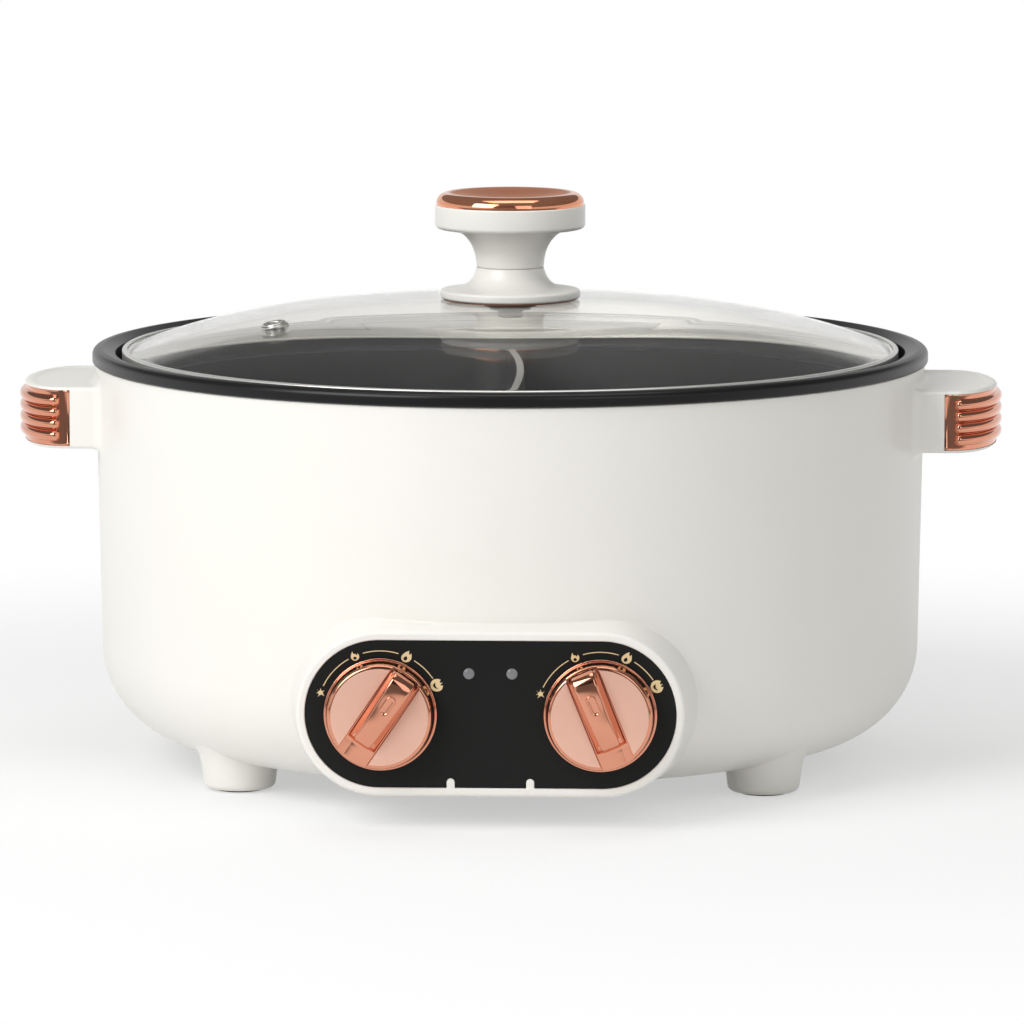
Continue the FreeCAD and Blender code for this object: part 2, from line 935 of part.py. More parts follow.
def thermostat(side):
    """Disc thermostat pressed to the pot's underside, with two ears."""
    x = side * heater_offset
    low = pot_underside - thermostat_height
    body = upright(thermostat_radius, low, pot_underside, x)
    ear_top = pot_underside - thermostat_ear_drop
    for sense in (-1, 1):
        y = sense * thermostat_ear_reach
        ear = upright(thermostat_ear_radius, ear_top - thermostat_ear_thickness, ear_top, x, y)
        bridge = Part.makeBox(
            thermostat_ear_radius * 2, thermostat_ear_reach, thermostat_ear_thickness,
            Vector(x - thermostat_ear_radius, min(0, y), ear_top - thermostat_ear_thickness),
        )
        body = body.fuse(ear).fuse(bridge)
    for sense in (-1, 1):
        y = sense * thermostat_ear_reach
        body = body.cut(upright(boss_radius + contact_gap, ear_top, pot_underside, x, y))
        hole = upright(screw_radius + screw_clearance, low, ear_top, x, y)
        body = body.cut(hole)
    return body


def screw_up(x, y, seat, length):
    """Pan-head screw driven upwards; its head hangs below the seat."""
    head = upright(screw_head_radius, seat - screw_head_height, seat, x, y)
    rim = edges_at(head, lambda e: e.BoundBox.ZMax < seat - screw_head_height / 2)
    head = head.makeFillet(screw_head_height / 3, rim)
    slot = Part.makeBox(
        screw_head_radius * 2, screw_slot_width, screw_head_height / 2,
        Vector(x - screw_head_radius, y - screw_slot_width / 2, seat - screw_head_height),
    )
    return head.fuse(upright(screw_radius, seat, seat + length, x, y)).cut(slot)


def thermostat_screws():
    seat = pot_underside - thermostat_ear_drop - thermostat_ear_thickness
    length = thermostat_ear_thickness + thermostat_ear_drop - tip_gap
    return [screw_up(x, y, seat, length) for x, y in thermostat_screw_places()]


def fuse_axis_height():
    return pot_underside - contact_gap - fuse_radius


def thermal_fuses():
    level = fuse_axis_height()
    fuses = []
    for side in (-1, 1):
        start = Vector(side * heater_offset - fuse_length / 2, fuse_offset, level)
        fuses.append(Part.makeCylinder(fuse_radius, fuse_length, start, X))
    return fuses


def fuse_clips():
    level = fuse_axis_height()
    clips = []
    for side in (-1, 1):
        bottom = level - fuse_clip_width / 2
        x = side * heater_offset
        corner = Vector(x - fuse_clip_length / 2, fuse_offset - fuse_clip_width / 2, bottom)
        clip = Part.makeBox(fuse_clip_length, fuse_clip_width, pot_underside - bottom, corner)
        start = Vector(x - fuse_clip_length, fuse_offset, level)
        clips.append(clip.cut(Part.makeCylinder(fuse_radius + shaft_fit, fuse_clip_length * 2, start, X)))
    return clips


def stud_places():
    return [polar(stud_circle, angle) for angle in around(stud_count)]


def pot_studs():
    low = shield_bottom - stud_engagement
    return [upright(stud_radius, low, pot_underside + stud_root, x, y) for x, y in stud_places()]


def stud_spacers():
    spacers = []
    for x, y in stud_places():
        tube = upright(stud_radius + stud_clearance + spacer_wall, shield_top, pot_underside, x, y)
        spacers.append(tube.cut(upright(stud_radius + stud_clearance, shield_top, pot_underside, x, y)))
    return spacers


def standoff_bore():
    """Lower end of the stud's thread in a standoff."""
    return shield_bottom - stud_engagement - tip_gap


def standoff_thread():
    """Depth of the base screw's thread in a standoff's lower end."""
    return min(screw_engagement, standoff_bore() - cover_top - past_face)


def standoffs():
    """Hexagon standoffs that clamp the shield and take the base screws."""
    corner = standoff_across_flats / math.sqrt(3)
    hexagon = [(*polar(corner, angle), 0) for angle in around(6, 0.0)]
    parts = []
    for x, y in stud_places():
        body = plan_prism(hexagon, cover_top, shield_bottom)
        body.translate(Vector(x, y, 0))
        body = body.cut(upright(stud_radius + shaft_fit, standoff_bore(), shield_bottom, x, y))
        thread = cover_top + standoff_thread()
        body = body.cut(upright(screw_radius + shaft_fit, cover_top, thread, x, y))
        parts.append(body)
    return parts


def heat_shield():
    rim_top = shield_bottom + shield_rim
    shield = turned([
        (0, shield_bottom),
        (shield_radius, shield_bottom, shield_bend_radius + shield_thickness),
        (shield_radius, rim_top),
        (shield_radius - shield_thickness, rim_top),
        (shield_radius - shield_thickness, shield_top, shield_bend_radius),
        (0, shield_top),
    ])
    low = shield_bottom - past_face
    high = shield_top + past_face
    for x, y in stud_places():
        shield = shield.cut(upright(stud_radius + stud_clearance, low, high, x, y))
    for x, y in block_screw_places():
        shield = shield.cut(upright(screw_radius + screw_clearance, low, high, x, y))
    return shield


def base_cover():
    cover = upright(cover_seat_radius - cover_clearance, body_bottom, cover_top)
    rim = edges_at(cover, lambda e: e.BoundBox.ZMax < body_bottom + 1e-6)
    cover = cover.makeFillet(cover_edge_radius, rim)
    low = body_bottom - past_face
    high = cover_top + past_face
    slot = plan_prism(rectangle(slot_length, slot_width, slot_width / 2), low, high)
    slot.translate(X * slot_circle)
    for angle in around(slot_count, 180.0 / slot_count):
        cover = cover.cut(turn(slot, angle))
    for x, y in base_screw_places():
        cover = cover.cut(upright(screw_radius + screw_clearance, low, high, x, y))
        cover = cover.cut(upright(screw_head_radius + screw_clearance, low, screw_seat(), x, y))
    return cover


def screw_seat():
    return body_bottom + screw_head_height


def base_screw_places():
    return cover_screw_places() + stud_places()


def base_screws():
    remaining = cover_top - screw_seat()
    screws = [screw_up(x, y, screw_seat(), remaining + screw_engagement) for x, y in cover_screw_places()]
    length = remaining + standoff_thread() - tip_gap
    return screws + [screw_up(x, y, screw_seat(), length) for x, y in stud_places()]


def block_screw_places():
    return [(side * block_screw_spacing / 2, block_reach) for side in (-1, 1)]


def terminal_block():
    high = shield_bottom
    near = block_reach - block_width / 2
    corner = Vector(-block_length / 2, near, high - block_height)
    block = Part.makeBox(block_length, block_width, block_height, corner)
    for i in (-1, 0, 1):
        start = Vector(i * block_way_spacing, near - past_face, high - block_way_drop)
        way = Part.makeCylinder(block_way_radius, block_width + 2 * past_face, start, Y)
        block = block.cut(way)
    for x, y in block_screw_places():
        block = block.cut(upright(screw_radius + shaft_fit, high - block_screw_depth, high, x, y))
    return block


def block_screws():
    """Screws down through the heat shield into the terminal block."""
    screws = []
    for x, y in block_screw_places():
        head = upright(screw_head_radius, shield_top, shield_top + screw_head_height, x, y)
        low = shield_bottom - block_screw_depth + tip_gap
        screws.append(head.fuse(upright(screw_radius, low, shield_top, x, y)))
    return screws


# ---------------------------------------------------------------- controls


def panel_outline(inset=0.0):
    return rectangle(
        panel_length - 2 * inset, panel_height - 2 * inset,
        panel_corner_radius - inset, panel_centre_height,
    )


def tapered_panel():
    """Control housing's outer form, growing slightly towards the body."""
    depth = panel_front - body_top_radius + panel_root
    growth = depth * math.tan(math.radians(panel_draft_deg))
    wires = []
    for inset, outer in ((0.0, panel_front), (-growth, panel_front - depth)):
        edges = rounded_edges(panel_outline(inset), lambda p: Vector(p.x, -outer, p.y))
        wires.append(Part.Wire(edges))
    form = Part.makeLoft(wires, True, True)
    front = edges_at(form, lambda e: e.BoundBox.YMax < -panel_front + 1e-4)
    form = form.makeFillet(panel_edge_radius, front)
    size = panel_length * 2
    low = body_bottom + panel_lift
    return form.common(Part.makeBox(size, size, size, Vector(-size / 2, -size, low)))


def control_housing():
    housing = tapered_panel()
    housing = housing.cut(front_prism(panel_outline(panel_rim), panel_front + past_face, recess_back))
    hollow = front_prism(panel_outline(panel_wall), plate_back, 0)
    housing = housing.cut(hollow)
    for x, z in control_screw_places():
        boss = forward(boss_radius, plate_back, wall_front(x, z) - body_wall, x, z)
        housing = housing.fuse(boss)
    for side in (-1, 1):
        x = side * (board_length / 2 - board_post_radius)
        z = panel_centre_height + lamp_rise
        housing = housing.fuse(forward(board_post_radius, plate_back, board_front(), x, z))
        housing = housing.fuse(locating_lug(side))
    housing = housing.cut(housing_outside(panel_seat_gap))
    for x, z in control_screw_places():
        reach = wall_front(x, z) + screw_engagement
        housing = housing.cut(forward(screw_radius + shaft_fit, reach, 0, x, z))
    for side in (-1, 1):
        x = side * control_spacing / 2
        bush = shaft_radius + fascia_shaft_gap
        housing = housing.cut(forward(bush, panel_front, 0, x, panel_centre_height))
        for rise in (-1, 1):
            z = panel_centre_height + rise * switch_screw_spacing / 2
            hole = forward(screw_radius + screw_clearance, panel_front, plate_back - past_face, x, z)
            sink = forward(screw_head_radius + screw_clearance, panel_front, head_seat(), x, z)
            housing = housing.cut(hole).cut(sink)
    for side in (-1, 1):
        x = side * lamp_spacing / 2
        z = panel_centre_height + lamp_rise
        hole = forward(lens_radius + lens_fit, panel_front, plate_back - past_face, x, z)
        housing = housing.cut(hole)
    return housing


def head_seat():
    """Depth at which a switch screw's head bears on the control housing's plate."""
    return recess_back - screw_head_height


def locating_lug(side, extra=0.0, proud=0.0):
    """Round-topped lug at the lower edge of the fascia."""
    width = lug_width + 2 * extra
    base = panel_centre_height - panel_height / 2 + panel_rim
    corners = [
        (-width / 2, base - 1),
        (width / 2, base - 1),
        (width / 2, base + lug_height + extra, width / 2 * round_limit),
        (-width / 2, base + lug_height + extra, width / 2 * round_limit),
    ]
    lug = front_prism(corners, fascia_front + proud, recess_back)
    lug.translate(X * (side * lug_spacing / 2))
    return lug


def fascia():
    plate = front_prism(panel_outline(panel_rim + fascia_clearance), fascia_front, recess_back)
    for side in (-1, 1):
        plate = plate.cut(locating_lug(side, fascia_clearance, 1.0))
        hole = shaft_radius + fascia_shaft_gap
        x = side * control_spacing / 2
        plate = plate.cut(forward(hole, panel_front, recess_back, x, panel_centre_height))
        x = side * lamp_spacing / 2
        z = panel_centre_height + lamp_rise
        plate = plate.cut(forward(lens_radius + lens_fit, panel_front, recess_back, x, z))
    return plate


def rotary_switch(side):
    x = side * control_spacing / 2
    corners = rectangle(switch_width, switch_height, switch_corner_radius, panel_centre_height)
    body = front_prism(corners, plate_back, plate_back - switch_depth)
    body.translate(X * x)
    bore_back = plate_back - shaft_in_switch - tip_gap
    body = body.cut(forward(shaft_radius + shaft_fit, plate_back, bore_back, x, panel_centre_height))
    for rise in (-1, 1):
        z = panel_centre_height + rise * switch_screw_spacing / 2
        depth = plate_back - screw_engagement - tip_gap
        body = body.cut(forward(screw_radius + shaft_fit, plate_back, depth, x, z))
    return body


def switch_terminals(side):
    blades = []
    back = plate_back - switch_depth
    for i in (-1, 0, 1):
        x = side * control_spacing / 2 + i * terminal_spacing - terminal_thickness / 2
        z = panel_centre_height - switch_height / 3
        blades.append(Part.makeBox(terminal_thickness, terminal_length, terminal_width, Vector(x, -back, z)))
    return blades


def switch_screws():
    screws = []
    for side in (-1, 1):
        for rise in (-1, 1):
            x = side * control_spacing / 2
            z = panel_centre_height + rise * switch_screw_spacing / 2
            head = forward(screw_head_radius, recess_back - face_gap, head_seat(), x, z)
            shank = forward(screw_radius, head_seat(), plate_back - screw_engagement, x, z)
            screws.append(head.fuse(shank))
    return screws


def control_screws():
    """Screws from inside the body into the control housing's bosses."""
    screws = []
    for x, z in control_screw_places():
        seat = boss_seat(z)
        head = forward(screw_head_radius, seat, seat - screw_head_height, x, z)
        shank = forward(screw_radius, wall_front(x, z) + screw_engagement - tip_gap, seat, x, z)
        screws.append(head.fuse(shank))
    return screws


def control_shaft(side):
    x = side * control_spacing / 2
    tip = knob_back + shaft_in_knob
    shaft = forward(shaft_radius, tip, plate_back - shaft_in_switch, x, panel_centre_height)
    flat = Part.makeBox(
        shaft_radius * 2, shaft_in_knob, shaft_radius,
        Vector(x - shaft_radius, -knob_back - shaft_in_knob, panel_centre_height + shaft_radius - shaft_flat),
    )
    return shaft.cut(flat)


def shaft_socket():
    """D-shaped bore in the knob's back, in the knob's own frame."""
    depth = shaft_in_knob + tip_gap
    bore = Part.makeCylinder(shaft_radius + shaft_fit, depth)
    size = shaft_radius * 3
    flat_height = shaft_radius - shaft_flat + shaft_fit
    return bore.cut(Part.makeBox(size, size, depth, Vector(-size / 2, flat_height, 0)))


def knob_disc():
    """Knob body on +Z: skirt, grooved and tapered wall, rolled edge and flat face."""
    wall_low = knob_radius - knob_skirt_step
    wall_high = wall_low - knob_taper
    return turned([
        (0, 0),
        (knob_radius, 0),
        (knob_radius, knob_skirt, knob_skirt_step / 2),
        (wall_low, knob_skirt + knob_skirt_step),
        (wall_low - knob_taper / 4, knob_depth / 2),
        (wall_low - knob_taper / 2, knob_depth / 2),
        (wall_high, knob_depth, knob_edge_radius),
        (0, knob_depth),
    ])


def knob_channel():
    """Tapered channel across the face, open through the rim at both ends."""
    reach = knob_radius + past_face
    corners = [
        (-channel_half_front, reach),
        (channel_half_front, reach),
        (channel_half_back, -reach),
        (-channel_half_back, -reach),
    ]
    return plan_prism(corners, knob_depth - channel_depth, knob_depth + past_face)


def knob_blade():
    """Grip bar in the channel: steep at the pointer, sloping down to the tail."""
    reach = knob_radius - knob_skirt_step - knob_taper
    low = knob_depth - channel_depth - blade_root
    peak = knob_depth + blade_height
    outlines = []
    for half_front, half_back, inset, level in (
        (channel_half_front, channel_half_back, 0.0, low),
        (blade_half_front, blade_half_back, blade_front_inset, peak),
    ):
        corners = [
            (-half_front, reach - inset, blade_corner_radius),
            (-half_back, -reach),
            (half_back, -reach),
            (half_front, reach - inset, blade_corner_radius),
        ]
        outlines.append(Part.Wire(rounded_edges(corners, lambda p: Vector(p.x, p.y, level))))
    wedge = Part.makeLoft(outlines, True, True)
    side_view = [
        (-reach, low - 1),
        (-reach, knob_depth - channel_depth),
        (-blade_edge_reach - blade_step / 2, knob_depth + blade_edge_height - blade_step),
        (-blade_edge_reach, knob_depth + blade_edge_height),
        (blade_ridge_end, peak - blade_ridge_drop, blade_ridge_radius),
        (reach - blade_front_inset, peak, blade_peak_radius),
        (reach, low - 1),
    ]
    edges = rounded_edges(side_view, lambda p: Vector(-knob_radius, p.x, p.y))
    profile = Part.Face(Part.Wire(edges)).extrude(X * knob_radius * 2)
    return wedge.common(profile).common(Part.makeCylinder(reach, peak + past_face))


def knob_marker():
    """Raised pill that stands a little proud of the bar's ridge."""
    peak = knob_depth + blade_height
    run = knob_radius - knob_skirt_step - knob_taper - blade_front_inset - blade_ridge_end
    slope = math.atan2(blade_ridge_drop, run)
    pill = plan_prism(rectangle(marker_width, marker_length, marker_width / 2), -1.0, marker_rise)
    pill.rotate(Vector(0, 0, 0), X, math.degrees(slope))
    height = peak - blade_ridge_drop + (marker_offset - blade_ridge_end) * math.tan(slope)
    pill.translate(Vector(0, marker_offset, height))
    return pill


def control_knob(side, pointer_deg):
    knob = knob_disc().cut(knob_channel()).fuse(knob_blade()).fuse(knob_marker())
    knob.rotate(Vector(0, 0, 0), Z, pointer_deg - 90)
    knob.rotate(Vector(0, 0, 0), X, 90)
    knob.translate(Vector(side * control_spacing / 2, -knob_back, panel_centre_height))
    socket = shaft_socket()
    socket.rotate(Vector(0, 0, 0), X, 90)
    socket.translate(Vector(side * control_spacing / 2, -knob_back, panel_centre_height))
    return knob.cut(socket)


def board_front():
    return plate_back - lens_flange_thickness - lamp_length - face_gap


def indicator_lenses():
    lenses = []
    for side in (-1, 1):
        x = side * lamp_spacing / 2
        z = panel_centre_height + lamp_rise
        barrel = forward(lens_radius, fascia_front + lens_proud, plate_back, x, z)
        flange = forward(lens_flange_radius, plate_back, plate_back - lens_flange_thickness, x, z)
        lenses.append(barrel.fuse(flange))
    return lenses


def indicator_lamps():
    lamps = []
    for side in (-1, 1):
        x = side * lamp_spacing / 2
        z = panel_centre_height + lamp_rise
        lamps.append(forward(lamp_radius, board_front() + lamp_length, board_front(), x, z))
    return lamps


def indicator_board():
    corners = rectangle(board_length, board_width, 1.0, panel_centre_height + lamp_rise)
    return front_prism(corners, board_front(), board_front() - board_thickness)


# ---------------------------------------------------------------- power inlet


def inlet_prism(width, height, corner, near, far):
    """Prism along +Y at the back, centred on the inlet."""
    return front_prism(rectangle(width, height, corner, panel_centre_height), -near, -far)


def power_inlet():
    face = inlet_back + inlet_flange_thickness
    body_front = face - inlet_cavity_depth - inlet_floor
    body = inlet_prism(inlet_body_width, inlet_body_height, inlet_corner, body_front, inlet_back)
    flange = inlet_prism(inlet_flange_width, inlet_flange_height, inlet_corner * 2, inlet_back, face)
    inlet = body.fuse(flange)
    floor = face - inlet_cavity_depth
    cavity = inlet_prism(inlet_cavity_width, inlet_cavity_height, inlet_corner, floor, face + past_face)
    inlet = inlet.cut(cavity)
    for side in (-1, 1):
        x = side * inlet_screw_spacing / 2
        radius = screw_radius + screw_clearance
        inlet = inlet.cut(forward(radius, past_face - inlet_back, -face - past_face, x, panel_centre_height))
    for prong in inlet_prongs():
        inlet = inlet.cut(prong)
    return inlet


def inlet_prongs():
    face = inlet_back + inlet_flange_thickness
    near = face - inlet_cavity_depth - inlet_floor - prong_tail
    far = face - prong_recess
    blanks = []
    for place, rise in ((-1, -1), (0, 1), (1, -1)):
        x = place * prong_spacing / 2
        z = rise * prong_rise / 2
        corner = Vector(x - prong_thickness / 2, near, panel_centre_height + z - prong_width / 2)
        blanks.append(Part.makeBox(prong_thickness, far - near, prong_width, corner))
    return blanks


def inlet_screws():
    face = inlet_back + inlet_flange_thickness
    screws = []
    for side in (-1, 1):
        x = side * inlet_screw_spacing / 2
        head = forward(screw_head_radius, -face, -face - inlet_screw_head, x, panel_centre_height)
        shank = forward(screw_radius, inlet_plate - inlet_back, -face, x, panel_centre_height)
        screws.append(head.fuse(shank))
    return screws


# ---------------------------------------------------------------- lid


def glass_arcs():
    """Centres and radii of the lid's two tangent outer arcs, and their meeting angle."""
    crown_centre = glass_apex - crown_radius
    lean = math.asin(crown_reach / crown_radius)
    joint = Vector(crown_reach, crown_centre + crown_radius * math.cos(lean), 0)
    edge = Vector(glass_arc_radius, glass_edge_top, 0)
    inward = Vector(-math.sin(lean), -math.cos(lean), 0)
    reach = edge - joint
    side_radius = reach.dot(reach) / (2 * inward.dot(reach))
    side_centre = joint + inward * side_radius
    return crown_centre, lean, side_centre, side_radius


def glass_point(angle, depth, centre, radius):
    return Vector(
        centre.x + (radius - depth) * math.sin(angle), 0,
        centre.y + (radius - depth) * math.cos(angle),
    )


def lid_glass():
    crown_centre, lean, side_centre, side_radius = glass_arcs()
    crown = Vector(0, crown_centre, 0)
    edge_angle = math.asin((glass_arc_radius - side_centre.x) / side_radius)
    side_middle = (lean + edge_angle) / 2
    land_bottom = glass_edge_top - glass_thickness
    edges = []
    for depth in (0.0, glass_thickness):
        edges.append(Part.Arc(
            glass_point(0, depth, crown, crown_radius),
            glass_point(lean / 2, depth, crown, crown_radius),
            glass_point(lean, depth, crown, crown_radius),
        ).toShape())
        edges.append(Part.Arc(
            glass_point(lean, depth, side_centre, side_radius),
            glass_point(side_middle, depth, side_centre, side_radius),
            glass_point(edge_angle, depth, side_centre, side_radius),
        ).toShape())
    outer_end = glass_point(edge_angle, 0, side_centre, side_radius)
    inner_end = glass_point(edge_angle, glass_thickness, side_centre, side_radius)
    corners = [
        outer_end,
        Vector(glass_edge_radius, 0, glass_edge_top),
        Vector(glass_edge_radius, 0, land_bottom),
        Vector(inner_end.x, 0, land_bottom),
        inner_end,
    ]
    for i in range(len(corners) - 1):
        if (corners[i + 1] - corners[i]).Length > 1e-6:
            edges.append(Part.LineSegment(corners[i], corners[i + 1]).toShape())
    edges.append(Part.LineSegment(Z * glass_apex, Z * (glass_apex - glass_thickness)).toShape())
    wire = Part.Wire(Part.__sortEdges__(edges))
    glass = Part.Face(wire).revolve(Vector(0, 0, 0), Z, 360)
    glass = glass.cut(upright(lid_travel_hole_radius, 0, glass_apex + past_face))
    start = Vector(0, 0, -2 * glass_thickness)
    hole = Part.makeCylinder(vent_neck_radius + band_fit, 4 * glass_thickness, start)
    return glass.cut(on_lid(hole))


def on_lid(shape):
    """Carries a shape made about Z = 0 to the vent's place, square to the glass."""
    _, _, side_centre, side_radius = glass_arcs()
    angle = math.asin((vent_reach - side_centre.x) / side_radius)
    height = side_centre.y + side_radius * math.cos(angle)
    shape.rotate(Vector(0, 0, 0), Y, math.degrees(angle))
    shape.translate(Vector(vent_reach, 0, height))
    return turn(shape, vent_angle_deg)


def lid_band():
    low = flange_top
    high = glass_edge_top + band_fit + band_wall
    outer = lid_radius
    inner = lid_radius - band_wall
    return turned([
        (outer - band_bottom_lip, low),
        (outer, low, band_wall),
        (outer, high, band_wall),
        (outer - band_top_lip, high),
        (outer - band_top_lip, high - band_wall),
        (inner, high - band_wall),
        (inner, low + band_wall),
        (outer - band_bottom_lip, low + band_wall),
    ])


def steam_vent():
    """Rolled grommet through the glass: flange above, neck, flared tube end below."""
    under = -glass_thickness
    vent = turned([
        (vent_bore, under - vent_flange_thickness - vent_gap),
        (vent_neck_radius + vent_flare, under - vent_flange_thickness - vent_gap),
        (vent_neck_radius + vent_flare, under - vent_gap),
        (vent_neck_radius, under - vent_gap),
        (vent_neck_radius, vent_gap),
        (vent_radius, vent_gap),
        (vent_radius, vent_gap + vent_flange_thickness, vent_edge_radius),
        (vent_lip_radius, vent_rise, vent_edge_radius * 2),
        (vent_bore, vent_rise, vent_edge_radius),
    ])
    return on_lid(vent)


def knob_gasket():
    low = glass_apex - knob_gasket_thickness
    ring = upright(knob_gasket_radius, low, gasket_top)
    ring = ring.cut(upright(knob_screw_radius + stud_clearance, low, gasket_top))
    return ring.cut(Part.makeSphere(crown_radius, Vector(0, 0, glass_apex - crown_radius)))


def lid_knob_base():
    """Flared foot of the lid knob, from a wide skirt up to the waist."""
    skirt_top = gasket_top + skirt_edge
    foot = turned([
        (0, gasket_top),
        (skirt_radius, gasket_top, skirt_edge_radius),
        (skirt_radius, skirt_top, skirt_edge_radius),
        (base_shoulder_radius, skirt_top + base_shoulder_rise, base_hollow_radius),
        (waist_radius, base_top - base_neck_height, base_neck_curve),
        (waist_radius, base_top),
        (0, base_top),
    ])
    return foot.cut(upright(knob_screw_radius + stud_clearance, gasket_top, base_top))


def lid_knob_grip():
    """Upper knob: waist flaring out to the round hand grip."""
    flare_start = base_top + grip_waist_height
    grip = turned([
        (0, base_top),
        (waist_radius, base_top, grip_joint_radius / 2),
        (waist_radius, flare_start + grip_waist_rise, grip_waist_curve),
        (grip_flare_radius, band_low - grip_flare_drop, grip_flare_curve),
        (grip_radius, band_low, grip_under_radius),
        (grip_radius, band_high, grip_joint_radius),
        (0, band_high),
    ])
    thread = base_top + knob_screw_in_grip + tip_gap
    grip = grip.cut(upright(knob_screw_radius + shaft_fit, base_top, thread))
    return grip.cut(upright(cap_spigot_radius + shaft_fit, band_high - cap_spigot_depth, band_high))


def lid_knob_cap():
    """Plated cap with a rolled rim and a dished middle."""
    high = band_high + cap_height
    roll = cap_roll_width / 2
    cap = turned([
        (0, band_high),
        (grip_radius, band_high, grip_joint_radius),
        (grip_radius, high, roll),
        (grip_radius - cap_roll_width, high, roll * round_limit),
        (grip_radius - cap_roll_width - cap_dish, high - cap_dish, roll),
        (0, high - cap_dish),
    ])
    return cap.fuse(upright(cap_spigot_radius, band_high - cap_spigot_depth, band_high))


def glass_underside():
    return glass_apex - glass_thickness


def lid_seal():
    top = glass_underside()
    ring = upright(seal_radius, top - seal_thickness, top)
    ring = ring.cut(upright(knob_screw_radius + stud_clearance, top - seal_thickness, top))
    under_radius = crown_radius - glass_thickness
    return ring.common(Part.makeSphere(under_radius, Vector(0, 0, top - under_radius)))


def lid_washer():
    top = glass_underside() - seal_thickness
    ring = upright(washer_radius, top - washer_thickness, top)
    return ring.cut(upright(knob_screw_radius + stud_clearance, top - washer_thickness, top))


def lid_screw():
    seat = glass_underside() - seal_thickness - washer_thickness
    head = upright(knob_screw_head_radius, seat - knob_screw_head_height, seat)
    rim = edges_at(head, lambda e: e.BoundBox.ZMax < seat - knob_screw_head_height / 2)
    head = head.makeFillet(knob_screw_head_height / 3, rim)
    return head.fuse(upright(knob_screw_radius, seat, base_top + knob_screw_in_grip))


# ---------------------------------------------------------------- export

os.makedirs("parts", exist_ok=True)

save("outer_housing", outer_housing())
save("foot_pads", *foot_pads())
save("grip_insert_right", grip_insert())
save("grip_insert_left", mirrored(grip_insert()))
save("rim_ring", rim_ring())
save("inner_pot", inner_pot())
save("heating_element_left", heater(-1))
save("heating_element_right", heater(1))
save("thermostat_left", thermostat(-1))
save("thermostat_right", thermostat(1))
save("thermostat_screws", *thermostat_screws())
save("thermal_fuses", *thermal_fuses())
save("fuse_clips", *fuse_clips())
save("pot_studs", *pot_studs())
save("stud_spacers", *stud_spacers())
save("standoffs", *standoffs())
save("heat_shield", heat_shield())
save("base_cover", base_cover())
save("base_screws", *base_screws())
save("terminal_block", terminal_block())
save("block_screws", *block_screws())
save("control_housing", control_housing())
save("control_fascia", fascia())
save("control_screws", *control_screws())
save("rotary_switch_left", rotary_switch(-1))
save("rotary_switch_right", rotary_switch(1))
save("switch_terminals", *(switch_terminals(-1) + switch_terminals(1)))
save("switch_screws", *switch_screws())
save("control_shaft_left", control_shaft(-1))
save("control_shaft_right", control_shaft(1))
save("control_knob_left", control_knob(-1, knob_left_pointer_deg))
save("control_knob_right", control_knob(1, knob_right_pointer_deg))
save("indicator_lenses", *indicator_lenses())
save("indicator_lamps", *indicator_lamps())
save("indicator_board", indicator_board())
save("power_inlet", power_inlet())
save("inlet_prongs", *inlet_prongs())
save("inlet_screws", *inlet_screws())
save("lid_glass", lid_glass())
save("lid_band", lid_band())
save("steam_vent", steam_vent())
save("lid_knob_gasket", knob_gasket())
save("lid_knob_base", lid_knob_base())
save("lid_knob_grip", lid_knob_grip())
save("lid_knob_cap", lid_knob_cap())
save("lid_seal", lid_seal())
save("lid_washer", lid_washer())
save("lid_screw", lid_screw())
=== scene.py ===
from math import asin, ceil, cos, degrees, hypot, pi, radians, sin, sqrt, tan

import bmesh
import bpy
from mathutils import Matrix, Vector


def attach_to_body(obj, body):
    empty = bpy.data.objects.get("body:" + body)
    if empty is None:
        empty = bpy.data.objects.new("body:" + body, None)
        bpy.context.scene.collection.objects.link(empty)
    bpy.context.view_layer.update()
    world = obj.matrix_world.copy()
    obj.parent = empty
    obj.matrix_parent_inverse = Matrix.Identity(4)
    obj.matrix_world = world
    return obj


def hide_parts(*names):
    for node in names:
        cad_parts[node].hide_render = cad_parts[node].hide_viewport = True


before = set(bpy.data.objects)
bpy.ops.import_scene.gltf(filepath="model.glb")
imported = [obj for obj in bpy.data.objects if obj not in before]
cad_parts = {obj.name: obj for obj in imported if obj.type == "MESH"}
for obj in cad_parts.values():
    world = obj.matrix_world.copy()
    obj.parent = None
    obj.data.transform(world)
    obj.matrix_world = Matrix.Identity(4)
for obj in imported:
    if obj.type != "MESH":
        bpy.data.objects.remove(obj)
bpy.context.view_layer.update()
mm = 0.001  # every size below is in millimetres


# Mesh helpers

def roundCorners(corners, step=7.5):
    # corners are (u, v) or (u, v, radius); the closed outline comes back with its arcs cut every step degrees
    points = []
    for i, corner in enumerate(corners):
        here = Vector(corner[:2])
        if len(corner) < 3:
            points.append(here)
            continue
        before = (Vector(corners[i - 1][:2]) - here).normalized()
        after = (Vector(corners[(i + 1) % len(corners)][:2]) - here).normalized()
        half = before.angle(after) / 2
        centre = here + (before + after).normalized() * corner[2] / sin(half)
        spoke = here + before * corner[2] / tan(half) - centre
        sweep = pi - 2 * half
        side = 1 if before.cross(after) < 0 else -1
        count = max(2, ceil(degrees(sweep) / step))
        for k in range(count + 1):
            points.append(centre + Matrix.Rotation(side * sweep * k / count, 2) @ spoke)
    return points


def smoothLine(points, steps=5):
    # a soft curve through every point
    ends = [points[0]] + list(points) + [points[-1]]
    line = [Vector(points[0])]
    for i in range(1, len(ends) - 2):
        a, b, c, d = (Vector(point) for point in ends[i - 1:i + 3])
        for k in range(1, steps + 1):
            t = k / steps
            square, cube = 2 * a - 5 * b + 4 * c - d, 3 * b - a - 3 * c + d
            line.append((2 * b + (c - a) * t + square * t ** 2 + cube * t ** 3) / 2)
    return line


